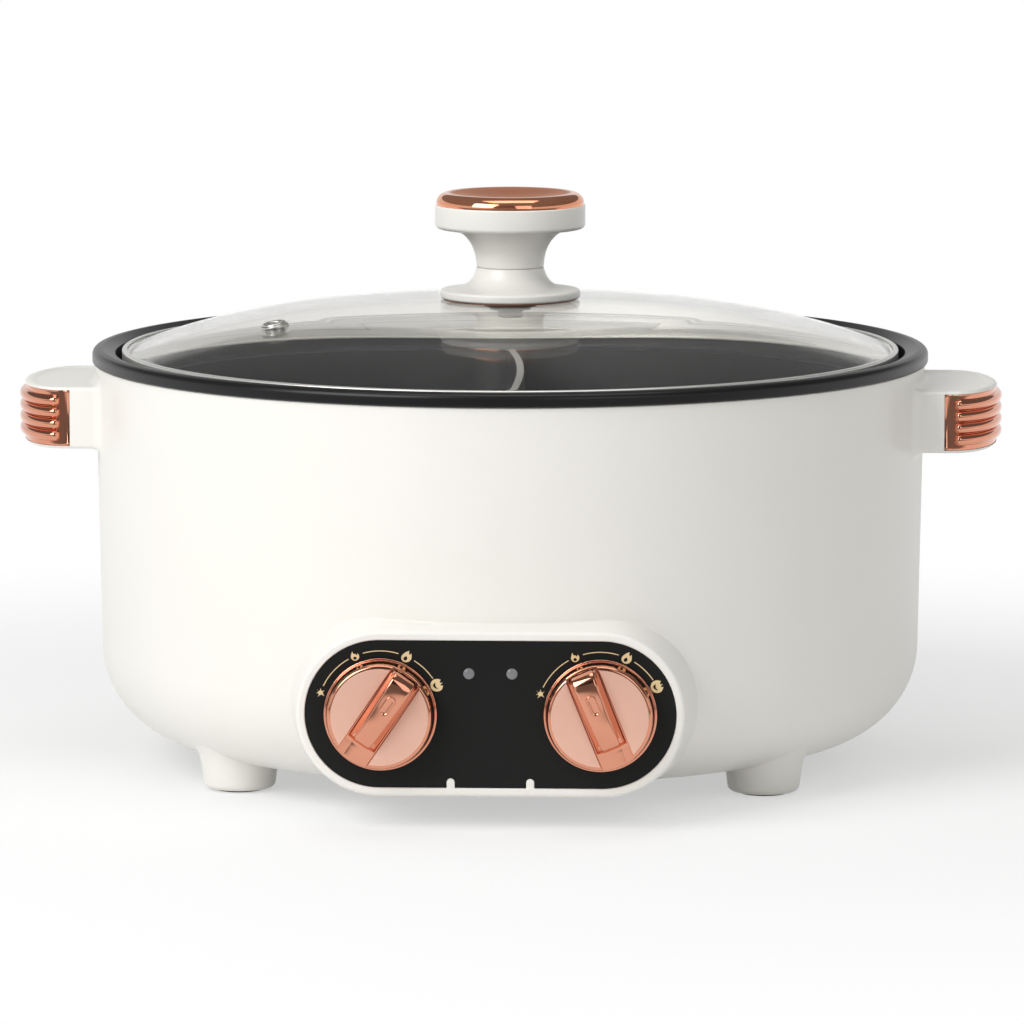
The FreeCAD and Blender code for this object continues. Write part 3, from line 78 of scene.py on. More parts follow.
def turned(profile, centre=(0, 0), count=192):
    # a closed outline of (radius, height) spun round an upright axis
    points, faces, rings = [], [], []
    for radius, height in profile:
        rings.append(len(points))
        turns = 1 if radius < 1e-6 else count
        for k in range(turns):
            angle = 2 * pi * k / count
            points.append((centre[0] + radius * cos(angle), centre[1] + radius * sin(angle), height))
    for i, (radius, height) in enumerate(profile):
        j = (i + 1) % len(profile)
        poles = (radius < 1e-6, profile[j][0] < 1e-6)
        if all(poles):
            continue
        for k in range(count):
            n = (k + 1) % count
            low = [rings[i]] if poles[0] else [rings[i] + k, rings[i] + n]
            high = [rings[j]] if poles[1] else [rings[j] + n, rings[j] + k]
            faces.append(low + high)
    return points, faces


def lofted(loops, ends="caps"):
    # loops with equal numbers of points, joined one to the next; ends are capped, or the last meets the first
    size = len(loops[0])
    points = [point for loop in loops for point in loop]
    faces = []
    last = len(loops) if ends == "closed" else len(loops) - 1
    for i in range(last):
        a, b = i * size, (i + 1) % len(loops) * size
        for k in range(size):
            n = (k + 1) % size
            faces.append([a + k, a + n, b + n, b + k])
    if ends == "caps":
        faces.append(list(range(size)))
        faces.append([(len(loops) - 1) * size + k for k in reversed(range(size))])
    return points, faces


def joined(*parts):
    # a part is (points, faces), in millimetres
    points, faces = [], []
    for somePoints, someFaces in parts:
        faces += [[index + len(points) for index in face] for face in someFaces]
        points += list(somePoints)
    return points, faces


def mapped(part, change):
    return [change(Vector(point)) for point in part[0]], part[1]


def mirroredX(part):
    return mapped(part, lambda p: Vector((-p.x, p.y, p.z)))


def addObject(name, data):
    thing = bpy.data.objects.new(name, data)
    bpy.context.collection.objects.link(thing)
    return thing


def evaluatedMesh(holder):
    # the plain mesh that a curve or a modifier gives; its holder is removed
    mesh = bpy.data.meshes.new_from_object(holder.evaluated_get(bpy.context.evaluated_depsgraph_get()))
    bpy.data.objects.remove(holder)
    return mesh


def asPart(mesh, unit=1.0):
    # unit is the length in the mesh that stands for a millimetre
    return [vertex.co / unit for vertex in mesh.vertices], [list(face.vertices) for face in mesh.polygons]


def makePiece(name, part, material, sharp=32):
    # welds the part, turns its faces outwards and keeps only its real edges sharp
    mesh = bpy.data.meshes.new(name)
    mesh.from_pydata([Vector(point) * mm for point in part[0]], [], part[1])
    work = bmesh.new()
    work.from_mesh(mesh)
    bmesh.ops.remove_doubles(work, verts=work.verts, dist=2e-6)
    bmesh.ops.recalc_face_normals(work, faces=work.faces)
    work.to_mesh(mesh)
    work.free()
    mesh.materials.append(material)
    mesh.shade_smooth()
    mesh.set_sharp_from_angle(angle=radians(sharp))
    return addObject(name, mesh)


def attach(piece, body, slot, *nodes):
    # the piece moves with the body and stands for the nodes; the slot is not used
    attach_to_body(piece, body)
    if nodes:
        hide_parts(*nodes)


# Material helpers

def hexColour(code):
    # an sRGB hex colour as the linear values that shaders take
    parts = [int(code[i:i + 2], 16) / 255 for i in (1, 3, 5)]
    return tuple(c / 12.92 if c <= 0.04045 else ((c + 0.055) / 1.055) ** 2.4 for c in parts) + (1.0,)


def addNode(tree, kind, inputs=None, **settings):
    # one node with its settings; each input is a value, or another node's socket to link
    node = tree.nodes.new(kind)
    for key, value in settings.items():
        setattr(node, key, value)
    for key, value in (inputs or {}).items():
        if isinstance(value, bpy.types.NodeSocket):
            tree.links.new(value, node.inputs[key])
        else:
            node.inputs[key].default_value = value
    return node


def newMaterial(name, **values):
    # a principled material; values are its sockets' names with _ for each space
    material = bpy.data.materials.new(name)
    material.use_nodes = True
    shader = material.node_tree.nodes["Principled BSDF"]
    for key, value in values.items():
        shader.inputs[key.replace("_", " ").title().replace("Ior", "IOR")].default_value = value
    return material, material.node_tree, shader


def surfaceNoise(tree, size, detail=2.0, stretch=(1, 1, 1)):
    # noise whose grain is size millimetres across, on the piece's own coordinates
    coords = addNode(tree, "ShaderNodeTexCoord").outputs["Object"]
    stretched = addNode(tree, "ShaderNodeMapping", {"Vector": coords, "Scale": stretch}).outputs["Vector"]
    return addNode(tree, "ShaderNodeTexNoise", {
        "Vector": stretched, "Scale": 1 / (size * mm), "Detail": detail}).outputs["Fac"]


def dress(tree, shader, tone, colours, height, depth, sheen=None):
    # colours from one pattern and a relief from another, depth millimetres high; sheen is a third pattern
    # with the two roughnesses that it wanders between
    ramp = addNode(tree, "ShaderNodeValToRGB", {"Fac": tone})
    for element, colour in zip(ramp.color_ramp.elements, colours):
        element.color = hexColour(colour)
    bump = addNode(tree, "ShaderNodeBump", {"Height": height, "Distance": depth * mm, "Strength": 1.0})
    tree.links.new(ramp.outputs["Color"], shader.inputs["Base Color"])
    tree.links.new(bump.outputs["Normal"], shader.inputs["Normal"])
    if sheen:
        pattern, smoothest, roughest = sheen
        spread = {"Value": pattern, "To Min": smoothest, "To Max": roughest}
        rough = addNode(tree, "ShaderNodeMapRange", spread).outputs["Result"]
        tree.links.new(rough, shader.inputs["Roughness"])


def mouldedPlastic(name, colours, roughness, grain, depth, **values):
    # injection moulded: even colour, a soft sheen that wavers a little, and the tool's faint texture
    material, tree, shader = newMaterial(name, **values)
    fine = surfaceNoise(tree, grain)
    sheen = (fine, roughness - 0.04, roughness + 0.05)
    dress(tree, shader, surfaceNoise(tree, 60, 1.0), colours, fine, depth, sheen)
    return material


def plated(name, colours, roughness, wave, depth):
    # vacuum-plated or polished metal: a mirror with the slight waviness of the part below it
    material, tree, shader = newMaterial(name, metallic=1.0)
    broad = surfaceNoise(tree, wave)
    sheen = (surfaceNoise(tree, 1.5), roughness * 0.7, roughness * 1.3)
    dress(tree, shader, broad, colours, broad, depth, sheen)
    return material


def worked(name, colours, roughness, stretch, grain, depth, metallic=1.0):
    # drawn, turned or pressed metal: fine lines along the way it was worked
    material, tree, shader = newMaterial(name, metallic=metallic)
    lines = surfaceNoise(tree, grain, 4.0, stretch)
    sheen = (lines, roughness - 0.06, roughness + 0.1)
    dress(tree, shader, lines, colours, lines, depth, sheen)
    return material


def sprayedNonstick():
    # sprayed PTFE on cast aluminium: dark grey, slightly rough, with tiny lighter flecks
    material, tree, shader = newMaterial("sprayedNonstick", specular_ior_level=0.25)
    flecks = {"spacing": 1.6, "core": 0.06, "rim": 0.16}
    coords = addNode(tree, "ShaderNodeTexCoord").outputs["Object"]
    cells = addNode(tree, "ShaderNodeTexVoronoi", {"Vector": coords, "Scale": 1 / (flecks["spacing"] * mm)})
    spots = addNode(tree, "ShaderNodeMapRange", {
        "Value": cells.outputs["Distance"], "From Min": flecks["core"], "From Max": flecks["rim"],
        "To Min": 1.0, "To Max": 0.0})
    fine = surfaceNoise(tree, 0.8)
    dress(tree, shader, spots.outputs["Result"], ("#3a3a3c", "#5c5c5e"), fine, 0.02, (fine, 0.34, 0.5))
    return material


def temperedGlass():
    # pressed and tempered soda-lime glass: clear and a little warm, with soft, slowly rippling reflections
    material, tree, shader = newMaterial("temperedGlass", transmission_weight=1.0, roughness=0.0, ior=1.05,
                                         coat_weight=0.62, coat_roughness=0.08, coat_ior=1.52)
    dress(tree, shader, surfaceNoise(tree, 40), ("#fefdfa", "#faf9f4"), surfaceNoise(tree, 25, 0.0), 0.004)
    return material


def satinRoseGoldPaintedLight():
    # the control knobs' flat faces: the same plating over a fine matt texture; its colour is painted paler,
    # with a matt share, as painted light that stands in for the light the faces would mirror, so they look
    # evenly bright
    material, tree, shader = newMaterial("satinRoseGoldPaintedLight", metallic=0.85)
    fine = surfaceNoise(tree, 0.35)
    dress(tree, shader, surfaceNoise(tree, 12), ("#facdb8", "#f4c2ac"), fine, 0.01, (fine, 0.44, 0.56))
    return material


def platedCopperPaintedLight():
    # plated like a mirror round its rolled edge, going over to a satin dish in the middle
    material, tree, shader = newMaterial("platedCopperPaintedLight", metallic=0.88)
    satin = {"radius": 21.5, "roughness": 0.5}
    mirror = {"radius": 25.0, "roughness": 0.07}
    coords = addNode(tree, "ShaderNodeTexCoord").outputs["Object"]
    flat = addNode(tree, "ShaderNodeVectorMath", {0: coords, 1: (1, 1, 0)}, operation="MULTIPLY")
    fromAxis = addNode(tree, "ShaderNodeVectorMath", {0: flat.outputs["Vector"]}, operation="LENGTH")
    turning = addNode(tree, "ShaderNodeMapRange", {
        "Value": fromAxis.outputs["Value"],
        "From Min": satin["radius"] * mm, "From Max": mirror["radius"] * mm,
        "To Min": satin["roughness"], "To Max": mirror["roughness"]})
    fine = surfaceNoise(tree, 0.6)
    waver = addNode(tree, "ShaderNodeMapRange", {"Value": fine, "To Min": 0.85, "To Max": 1.15})
    rough = addNode(tree, "ShaderNodeMath", {
        0: turning.outputs["Result"], 1: waver.outputs["Result"]}, operation="MULTIPLY")
    tree.links.new(rough.outputs["Value"], shader.inputs["Roughness"])
    # colours lighter than the other plating, with a matt share: painted light that lifts the dark reflections
    # on the cap
    dress(tree, shader, surfaceNoise(tree, 9), ("#f0a683", "#e4986f"), fine, 0.004)
    return material


# plastics: two colours, roughness, size of the grain and its height in millimetres
ivory = mouldedPlastic("mouldedIvory", ("#f1efe9", "#eeece5"), 0.34, 1.2, 0.006,
                       coat_weight=0.15, coat_roughness=0.25)  # polypropylene: warm white with a soft sheen
knobIvoryPaintedLighter = mouldedPlastic("knobIvoryPaintedLight", ("#faf8f2", "#f7f5ee"), 0.32, 1.2, 0.006,
                           coat_weight=0.15, coat_roughness=0.25)  # the same plastic, painted a shade lighter to stand in for the extra light on the knob
blackSatin = mouldedPlastic("mouldedBlack", ("#151516", "#1a1a1b"), 0.30, 1.0, 0.01,
                            specular_ior_level=0.32)  # heat-resistant nylon: black with broad highlights
fasciaBlack = mouldedPlastic("mattBlackFascia", ("#151615", "#181918"), 0.5, 0.5, 0.012,
                             specular_ior_level=0.18)  # fine spark texture: hardly any shine
phenolic = mouldedPlastic("mouldedPhenolic", ("#1d1a18", "#26211e"), 0.42, 0.8, 0.015)  # brown-black, dull
steatite = mouldedPlastic("pressedSteatite", ("#e4dfd2", "#d8d2c4"), 0.55, 0.9, 0.03)  # ceramic: chalky
boardGreen = mouldedPlastic("glassFibreBoard", ("#1d5a30", "#24683a"), 0.35, 1.5, 0.01)  # lacquered green
siliconeGrey = mouldedPlastic("mouldedSilicone", ("#2a2a2b", "#343435"), 0.62, 0.7, 0.03)  # dull dark rubber
gasketBrown = mouldedPlastic("gasketSilicone", ("#a9735a", "#986550"), 0.5, 0.8, 0.02)  # copper-brown rubber
printedGold = mouldedPlastic("printedGold", ("#ecd6a8", "#dfc590"), 0.4, 0.4, 0.004)  # flat pad-printed ink
lensGrey = mouldedPlastic("frostedLens", ("#707174", "#828386"), 0.22, 0.6, 0.004,
                          coat_weight=0.6)  # unlit acrylic: grey below a clear gloss

# plated and polished metals: two colours, roughness, length of the waves and their height
roseGold = plated("platedRoseGold", ("#e3a084", "#d99377"), 0.08, 9.0, 0.01)  # a warm pink mirror
brightSteel = plated("polishedSteel", ("#d2d2d2", "#c6c6c6"), 0.12, 10.0, 0.006)  # a neutral mirror

# worked metals: two colours, roughness, stretch of the lines, their width and height
bandSteelPaintedPale = worked("paleBrushedSteelPaintedSheen", ("#f2f1ed", "#e8e7e2"), 0.3, (1, 1, 6), 0.8, 0.003,
                   metallic=0.7)  # stainless band brushed round; its pale colour with a matt share is a painted reflection of the white surroundings, so it looks pale from all sides
ventSteel = worked("satinSteel", ("#dcdbd6", "#cfcec9"), 0.3, (1, 1, 6), 0.8, 0.003)  # soft highlights
sheetSteel = worked("rolledSteel", ("#b4b4b4", "#9c9c9c"), 0.34, (1, 1, 8), 0.6, 0.006)  # grey, drawn lines
heatedSteel = worked("heatDarkenedSteel", ("#6e665f", "#4b443f"), 0.42, (1, 1, 4), 0.8, 0.01)  # brown bloom
bareEdge = worked("groundAluminium", ("#e6e6e4", "#d8d8d6"), 0.42, (1, 1, 1), 0.5, 0.004)  # whitish, no grain
brass = worked("stampedBrass", ("#c9a256", "#b78f48"), 0.3, (1, 1, 6), 0.5, 0.006)  # yellow, drawn lines

knobFaces = satinRoseGoldPaintedLight()
capCopper = platedCopperPaintedLight()
nonstick = sprayedNonstick()
glass = temperedGlass()
print("materials made")

slotMaterials = {
    "ivory_plastic": ivory, "rose_gold": roseGold, "black_plastic": blackSatin, "fascia_black": fasciaBlack,
    "nonstick": nonstick, "rubber": siliconeGrey, "steel": sheetSteel, "bright_steel": brightSteel,
    "element_steel": heatedSteel, "brass": brass, "clear_glass": glass, "lamp_lens": lensGrey,
    "phenolic": phenolic, "steatite": steatite, "circuit_board": boardGreen, "gasket": gasketBrown,
}
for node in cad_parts.values():
    for materialSlot in node.material_slots:
        materialSlot.material = slotMaterials[materialSlot.name]
print("nodes dressed")


# Housing: a moulded shell with its two handles and four feet

shell = {
    "bottom": 10.0, "top": 156.5, "topRadius": 161.3, "draft": tan(radians(1.1)), "corner": 36.5,
    "wall": 3.0, "opening": 100.0, "seat": 108.3, "lip": 114.0, "coverTop": 12.6, "lipTop": 15.0,
}
handle = {
    "halfWidth": 38.0, "bottom": 125.0, "top": 149.0, "endCentre": 171.46, "endDepth": 18.0, "edge": 1.8,
    "borderWidth": 2.9, "dishSlope": 2.4, "dishDepth": 0.6, "pocketInset": 5.0, "pocketRoot": 164.7,
    "pocketRoof": 145.8, "pocketEdge": 0.8, "rootRadius": 3.6, "sunk": 1.5,
}
grip = {
    "low": 126.3, "high": 147.7, "gap": 0.15, "thick": 2.0, "border": 0.75, "slope": 0.3, "recess": 0.3,
    "edge": 0.25, "wrap": 3.0, "ribs": 4, "pitch": 4.5, "ribRadius": 2.2, "ribSink": 0.33, "setback": 3.0,
}
foot = {
    "x": 100.0, "y": 80.0, "low": 0.8, "base": 13.5, "edge": 2.5, "stem": 13.0, "stemRadius": 15.0,
    "curve": 20.0, "top": 27.8, "topRadius": 23.0,
}
skin = 0.01  # how far a root curve's thin end stands off what it lies on


def wallLine(height):
    return shell["topRadius"] - (shell["top"] - height) * shell["draft"]


def shellRadius(height):
    # outside radius of the shell at a height, round its lower corner as well
    corner = shell["corner"]
    centreHeight = shell["bottom"] + corner
    if height >= centreHeight:
        return wallLine(height)
    centreRadius = wallLine(centreHeight) - corner * hypot(1, shell["draft"])
    drop = min(corner, centreHeight - height)
    return centreRadius + sqrt(corner ** 2 - drop ** 2)


def shellBody():
    wall = shell["wall"]
    inner = shell["bottom"] + wall
    return turned(roundCorners([
        (shell["seat"], shell["bottom"], 0.4),
        (wallLine(shell["bottom"]), shell["bottom"], shell["corner"]),
        (shell["topRadius"], shell["top"], 0.5),
        (shell["topRadius"] - wall, shell["top"], 0.3),
        (wallLine(inner) - wall, inner, shell["corner"] - wall),
        (shell["lip"], inner),
        (shell["lip"], shell["lipTop"]),
        (shell["opening"], shell["lipTop"]),
        (shell["opening"], shell["coverTop"]),
        (shell["seat"], shell["coverTop"]),
    ], step=3.0), count=288)


def handlePlan(inset, endInset=0.0, root=None, count=48, sideCount=8):
    # plan of the right handle: front side, half-ellipse end, back side, then the wall or a straight root
    half = handle["halfWidth"] - inset
    hidden = wallLine(handle["top"]) - handle["sunk"]
    start = root or sqrt(hidden ** 2 - half ** 2)
    reach = handle["endDepth"] - inset - endInset
    endHalf = half - endInset
    sideEnd = handle["endCentre"] - grip["wrap"]
    front = [(start + (sideEnd - start) * k / sideCount, -half) for k in range(sideCount + 1)]
    end = []
    for k in range(count + 1):
        angle = -pi / 2 + pi * k / count
        back = grip["wrap"] if endInset and k in (0, count) else 0.0
        end.append((handle["endCentre"] - back + reach * cos(angle), endHalf * sin(angle)))
    rear = [(x, -y) for x, y in reversed(front)]
    inner = []
    for k in range(1, count):
        y = half * (1 - 2 * k / count)
        inner.append((root or sqrt(hidden ** 2 - y ** 2), y))
    return front + end + rear + inner


def atHeight(plan, height):
    return [(x, y, height) for x, y in plan]


def edgeInset(height):
    # how far the handle's rounded edges draw its side in at a height
    edge = handle["edge"]
    rise = max(0.0, handle["bottom"] + edge - height, height - handle["top"] + edge)
    return edge - sqrt(edge ** 2 - min(edge, rise) ** 2)


def handleBody():
    edge, low, high = handle["edge"], handle["bottom"], handle["top"]
    pocket, pocketEdge, root = handle["pocketInset"], handle["pocketEdge"], handle["pocketRoot"]
    rebate = (grip["low"] - grip["gap"], grip["high"] + grip["gap"])
    depth = grip["thick"] + grip["gap"]
    steps = [radians(a) for a in range(0, 91, 15)]
    loops = [atHeight(handlePlan(pocket, root=root), handle["pocketRoof"])]
    for a in steps:
        spread, rise = pocketEdge * (1 - cos(a)), pocketEdge * (1 - sin(a))
        loops.append(atHeight(handlePlan(pocket - spread, root=root - spread), low + rise))
    rounded = [edge * (1 - sin(a)) for a in steps]
    for height in sorted([low + s for s in rounded] + [high - s for s in rounded] + list(rebate)):
        inset = edgeInset(height)
        cuts = [depth - inset] if rebate[0] < height < rebate[1] else [0.0]
        if height in rebate:
            cuts = [0.0, depth - inset] if height == rebate[0] else [depth - inset, 0.0]
        loops += [atHeight(handlePlan(inset, cut), height) for cut in cuts]
    slopeCount = 8
    for k in range(slopeCount + 1):
        inset = handle["borderWidth"] + handle["dishSlope"] * k / slopeCount
        sunk = handle["dishDepth"] * ((1 - cos(pi * k / slopeCount)) / 2)
        loops.append(atHeight(handlePlan(inset), high - sunk))
    return lofted(loops)


def handleSection(flatCount=60, sideCount=8):
    # the handle's cross-section at its root, each point with its outward direction: (y, z, ny, nz)
    half, low, high, edge = handle["halfWidth"], handle["bottom"], handle["top"], handle["edge"]
    side = high - low - 2 * edge
    top = []
    for k in range(1, flatCount):
        y = (half - edge) * (1 - 2 * k / flatCount)
        part = min(1, max(0, (half - abs(y) - handle["borderWidth"]) / handle["dishSlope"]))
        top.append((y, high - handle["dishDepth"] * (1 - cos(pi * part)) / 2, 0, 1))
    backSide = [(-half, low + edge + side * (1 - k / sideCount), -1, 0) for k in range(1, sideCount)]
    under = [(-half + edge + (2 * half - 2 * edge) * k / flatCount, low, 0, -1) for k in range(1, flatCount)]
    frontSide = [(half, low + edge + side * k / sideCount, 1, 0) for k in range(1, sideCount)]
    section = []
    for y, z, start, flat in (
            (half - edge, high - edge, 0, top), (-half + edge, high - edge, 90, backSide),
            (-half + edge, low + edge, 180, under), (half - edge, low + edge, 270, frontSide)):
        for k in range(7):
            angle = radians(start + 15 * k)
            section.append((y + edge * cos(angle), z + edge * sin(angle), cos(angle), sin(angle)))
        section += flat
    return section


def handleRoot():
    # the soft curve where the handle grows out of the wall: an arc that touches both, closed inside the wall
    radius, past, sunk = handle["rootRadius"], 0.6, -1.0
    steps = [(radius + past, skin)]
    for k in range(13):
        angle = radians(7.5 * k)
        steps.append((max(skin, radius * (1 - sin(angle))), max(skin, radius * (1 - cos(angle)))))
    steps += [(skin, radius + past), (sunk, radius + 0.4), (sunk, sunk), (radius, sunk)]
    section = handleSection()
    loops = []
    for out, spread in steps:
        loop = []
        for y, z, ny, nz in section:
            sideY, upZ = y + ny * spread, z + nz * spread
            loop.append((sqrt((wallLine(upZ) + out) ** 2 - sideY ** 2), sideY, upZ))
        loops.append(loop)
    return lofted(loops, "closed")


def footBody(x, y):
    return turned(roundCorners([
        (0, foot["low"]),
        (foot["base"], foot["low"], foot["edge"]),
        (foot["stemRadius"], foot["stem"], foot["curve"]),
        (foot["topRadius"], foot["top"]),
        (0, foot["top"]),
    ]), centre=(x, y), count=72)


# Boxes that stand off the wall: the control housing in front and the inlet hump behind

panel = {
    "width": 144.0, "height": 61.7, "corner": 30.85, "middle": 43.7, "front": 170.4, "rim": 3.3, "edge": 1.6,
    "draft": 7.5, "recess": 4.0, "rootRadius": 0.7, "lowest": 11.0, "opening": None,
}
hump = {
    "width": 60.0, "height": 34.0, "corner": 10.0, "middle": 43.7, "front": 181.5, "rim": 3.0, "edge": 1.5,
    "draft": 1.5, "recess": 3.0, "rootRadius": 3.0, "lowest": 11.0, "opening": (28.4, 20.8, 3.2),
}
boxWall = {"thick": 2.5, "sunk": 1.5, "mouthEdge": 0.3}  # both boxes
lug = {"spacing": 29.4, "width": 3.1, "height": 3.6, "front": 170.0, "back": 168.0, "edge": 0.4, "sunk": 1.0}


def boxOutline(width, height, corner, middle, sideCount=40, arcCount=24):
    # rounded rectangle as (x, z, nx, nz), with the same number of points whatever its size
    outline = []
    halfX, halfZ = width / 2 - corner, height / 2 - corner
    corners = ((halfX, halfZ, 0), (-halfX, halfZ, 90), (-halfX, -halfZ, 180), (halfX, -halfZ, 270))
    for i, (x, z, start) in enumerate(corners):
        for k in range(arcCount + 1):
            angle = radians(start + 90 * k / arcCount)
            nx, nz = cos(angle), sin(angle)
            outline.append((x + corner * nx, middle + z + corner * nz, nx, nz))
        nextX, nextZ = corners[(i + 1) % 4][:2]
        nx, nz = cos(radians(start + 90)), sin(radians(start + 90))
        for k in range(1, sideCount):
            part = k / sideCount
            sideX, sideZ = x + (nextX - x) * part, middle + z + (nextZ - z) * part
            outline.append((sideX + corner * nx, sideZ + corner * nz, nx, nz))
    return outline


def wallBox(box, side):
    # side is -1 for a box in front and 1 for one behind
    outline = boxOutline(box["width"], box["height"], box["corner"], box["middle"])
    front, edge, slope = box["front"], box["edge"], tan(radians(box["draft"]))
    thick, sunk, mouthEdge = boxWall["thick"], boxWall["sunk"], boxWall["mouthEdge"]
    opening = outline
    inset = box["rim"]
    if box["opening"]:
        width, height, corner = box["opening"]
        opening = boxOutline(width, height, corner, box["middle"])
        inset = 0.0

    def level(points, depth, drawnIn):
        return [(x - nx * drawnIn, side * depth, z - nz * drawnIn) for x, z, nx, nz in points]

    loops = [level(opening, front - box["recess"], inset), level(opening, front - mouthEdge, inset),
             level(opening, front, inset - mouthEdge)]
    for k in range(9):
        angle = radians(11.25 * k)
        loops.append(level(outline, front - edge * (1 - cos(angle)), edge * (1 - sin(angle))))

    def towardsWall(part, out, spread, hollow=0.0):
        # a loop part of the way from the edge to where the root curve starts, or on the root curve itself
        loop = []
        for x, z, nx, nz in outline:
            depth = 0.0
            for step in range(6):  # a few rounds settle where the drafted side meets the round wall
                grown = depth * slope + spread - hollow
                px, pz = x + nx * grown, max(box["lowest"], z + nz * grown)
                wall = sqrt(max(0.0, shellRadius(pz) ** 2 - px ** 2)) + out
                reach = front - edge - wall
                depth = reach * part
            loop.append((px, side * (front - edge - depth), pz))
        return loop

    radius = box["rootRadius"]
    loops += [towardsWall(k / 12, radius, 0.0) for k in range(1, 12)]
    for k in range(11):
        angle = radians(9 * k)
        loops.append(towardsWall(1.0, max(skin, radius * (1 - sin(angle))), radius * (1 - cos(angle))))
    loops += [towardsWall(1.0, skin, radius + 0.5), towardsWall(1.0, -sunk, radius),
              towardsWall(1.0, -sunk, 0.0, thick), level(outline, front - box["recess"] - thick, thick)]
    return lofted(loops, "closed")


def locatingLug(side):
    width, edge = lug["width"], lug["edge"]
    base = panel["middle"] - panel["height"] / 2 + panel["rim"] - lug["sunk"]
    top = base + lug["sunk"] + lug["height"]

    def outline(inset, depth):
        half = width / 2 - inset
        arc = [(half * cos(radians(a)), top - width / 2 + half * sin(radians(a))) for a in range(0, 181, 12)]
        points = [(half, base)] + arc + [(-half, base)]
        return [(side * lug["spacing"] / 2 + x, -depth, z) for x, z in points]

    loops = [outline(0, lug["back"])]
    for a in range(0, 91, 15):
        loops.append(outline(edge * (1 - cos(radians(a))), lug["front"] - edge * (1 - sin(radians(a)))))
    return lofted(loops)


rightHandle = joined(handleBody(), handleRoot())
feet = [footBody(sx * foot["x"], sy * foot["y"]) for sx in (-1, 1) for sy in (-1, 1)]
shellParts = joined(shellBody(), rightHandle, mirroredX(rightHandle), wallBox(hump, 1), *feet)
attach(makePiece("housing_shell", shellParts, ivory), "housing", "ivory_plastic", "outer_housing")
panelParts = joined(wallBox(panel, -1), locatingLug(-1), locatingLug(1))
attach(makePiece("control_panel_housing", panelParts, ivory), "housing", "ivory_plastic", "control_housing")
print("housing made")


# Plated grips round the ends of the handles

def endPoint(angle, out, height, back=0.0):
    # a point out millimetres outside the handle's half-ellipse end, or back millimetres along its sides
    x = handle["endCentre"] + (handle["endDepth"] + out) * cos(angle) - back
    return Vector((x, (handle["halfWidth"] + out) * sin(angle), height))


def gripPlate():
    edge, border, recess = grip["edge"], grip["border"], grip["recess"]
    lines = [(0, -edge), (edge, 0), (border, 0), (border + grip["slope"], -recess)]
    straight = grip["wrap"] - grip["gap"]
    side = [(-pi / 2, straight - s, h) for s, h in lines]
    middle = [(-pi / 2 + pi * k / 60, 0.0, -recess) for k in range(61)]
    columns = side + middle + [(-angle, back, h) for angle, back, h in reversed(side)]
    rows = [(grip["low"] + s, h) for s, h in lines] + [(grip["high"] - s, h) for s, h in reversed(lines)]
    loops = []
    for angle, back, sideHeight in columns:
        outer = [endPoint(angle, min(sideHeight, h) - edgeInset(z), z, back) for z, h in rows]
        inner = [endPoint(angle, -grip["thick"], z, back) for z in (grip["high"], grip["low"])]
        loops.append(outer + inner)
    return lofted(loops)


def ribTree():
    # Geometry Nodes: one round-ended bead along the path, repeated upwards
    tree = bpy.data.node_groups.new("gripRibs", "GeometryNodeTree")
    for name, kind in (("Path", "Geometry"), ("Count", "Int"), ("Pitch", "Float"), ("Radius", "Float"),
                       ("Material", "Material")):
        tree.interface.new_socket(name=name, in_out="INPUT", socket_type="NodeSocket" + kind)
    tree.interface.new_socket(name="Ribs", in_out="OUTPUT", socket_type="NodeSocketGeometry")
    given = tree.nodes.new("NodeGroupInput").outputs
    profile = addNode(tree, "GeometryNodeCurvePrimitiveCircle", {"Resolution": 24, "Radius": given["Radius"]})
    bead = addNode(tree, "GeometryNodeCurveToMesh", {
        "Curve": given["Path"], "Profile Curve": profile.outputs["Curve"], "Fill Caps": True})
    ends = addNode(tree, "GeometryNodeCurveEndpointSelection")
    ball = addNode(tree, "GeometryNodeMeshUVSphere", {"Segments": 24, "Rings": 16, "Radius": given["Radius"]})
    balls = addNode(tree, "GeometryNodeInstanceOnPoints", {
        "Points": given["Path"], "Selection": ends.outputs["Selection"], "Instance": ball.outputs["Mesh"]})
    rib = addNode(tree, "GeometryNodeJoinGeometry")
    tree.links.new(bead.outputs["Mesh"], rib.inputs[0])
    tree.links.new(balls.outputs["Instances"], rib.inputs[0])
    rise = addNode(tree, "ShaderNodeCombineXYZ", {"Z": given["Pitch"]})
    stack = addNode(tree, "GeometryNodeMeshLine", {"Count": given["Count"], "Offset": rise.outputs["Vector"]})
    copies = addNode(tree, "GeometryNodeInstanceOnPoints", {
        "Points": stack.outputs["Mesh"], "Instance": rib.outputs["Geometry"]})
    real = addNode(tree, "GeometryNodeRealizeInstances", {"Geometry": copies.outputs["Instances"]})
    finished = addNode(tree, "GeometryNodeSetMaterial", {
        "Geometry": real.outputs["Geometry"], "Material": given["Material"]})
    addNode(tree, "NodeGroupOutput", {"Ribs": finished.outputs["Geometry"]})
    return tree


def shapedBy(holder, tree, values):
    # runs the tree on the holder once and returns the plain mesh it makes
    modifier = holder.modifiers.new("shape", "NODES")
    modifier.node_group = tree
    for item in tree.interface.items_tree:
        if item.in_out == "INPUT" and item.name in values:
            modifier[item.identifier] = values[item.name]
    return evaluatedMesh(holder)


def pathCurve(points):
    curve = bpy.data.curves.new("path", "CURVE")
    curve.dimensions = "3D"
    spline = curve.splines.new("POLY")
    spline.points.add(len(points) - 1)
    for target, point in zip(spline.points, points):
        target.co = (*(Vector(point) * mm), 1)
    return addObject("path", curve)


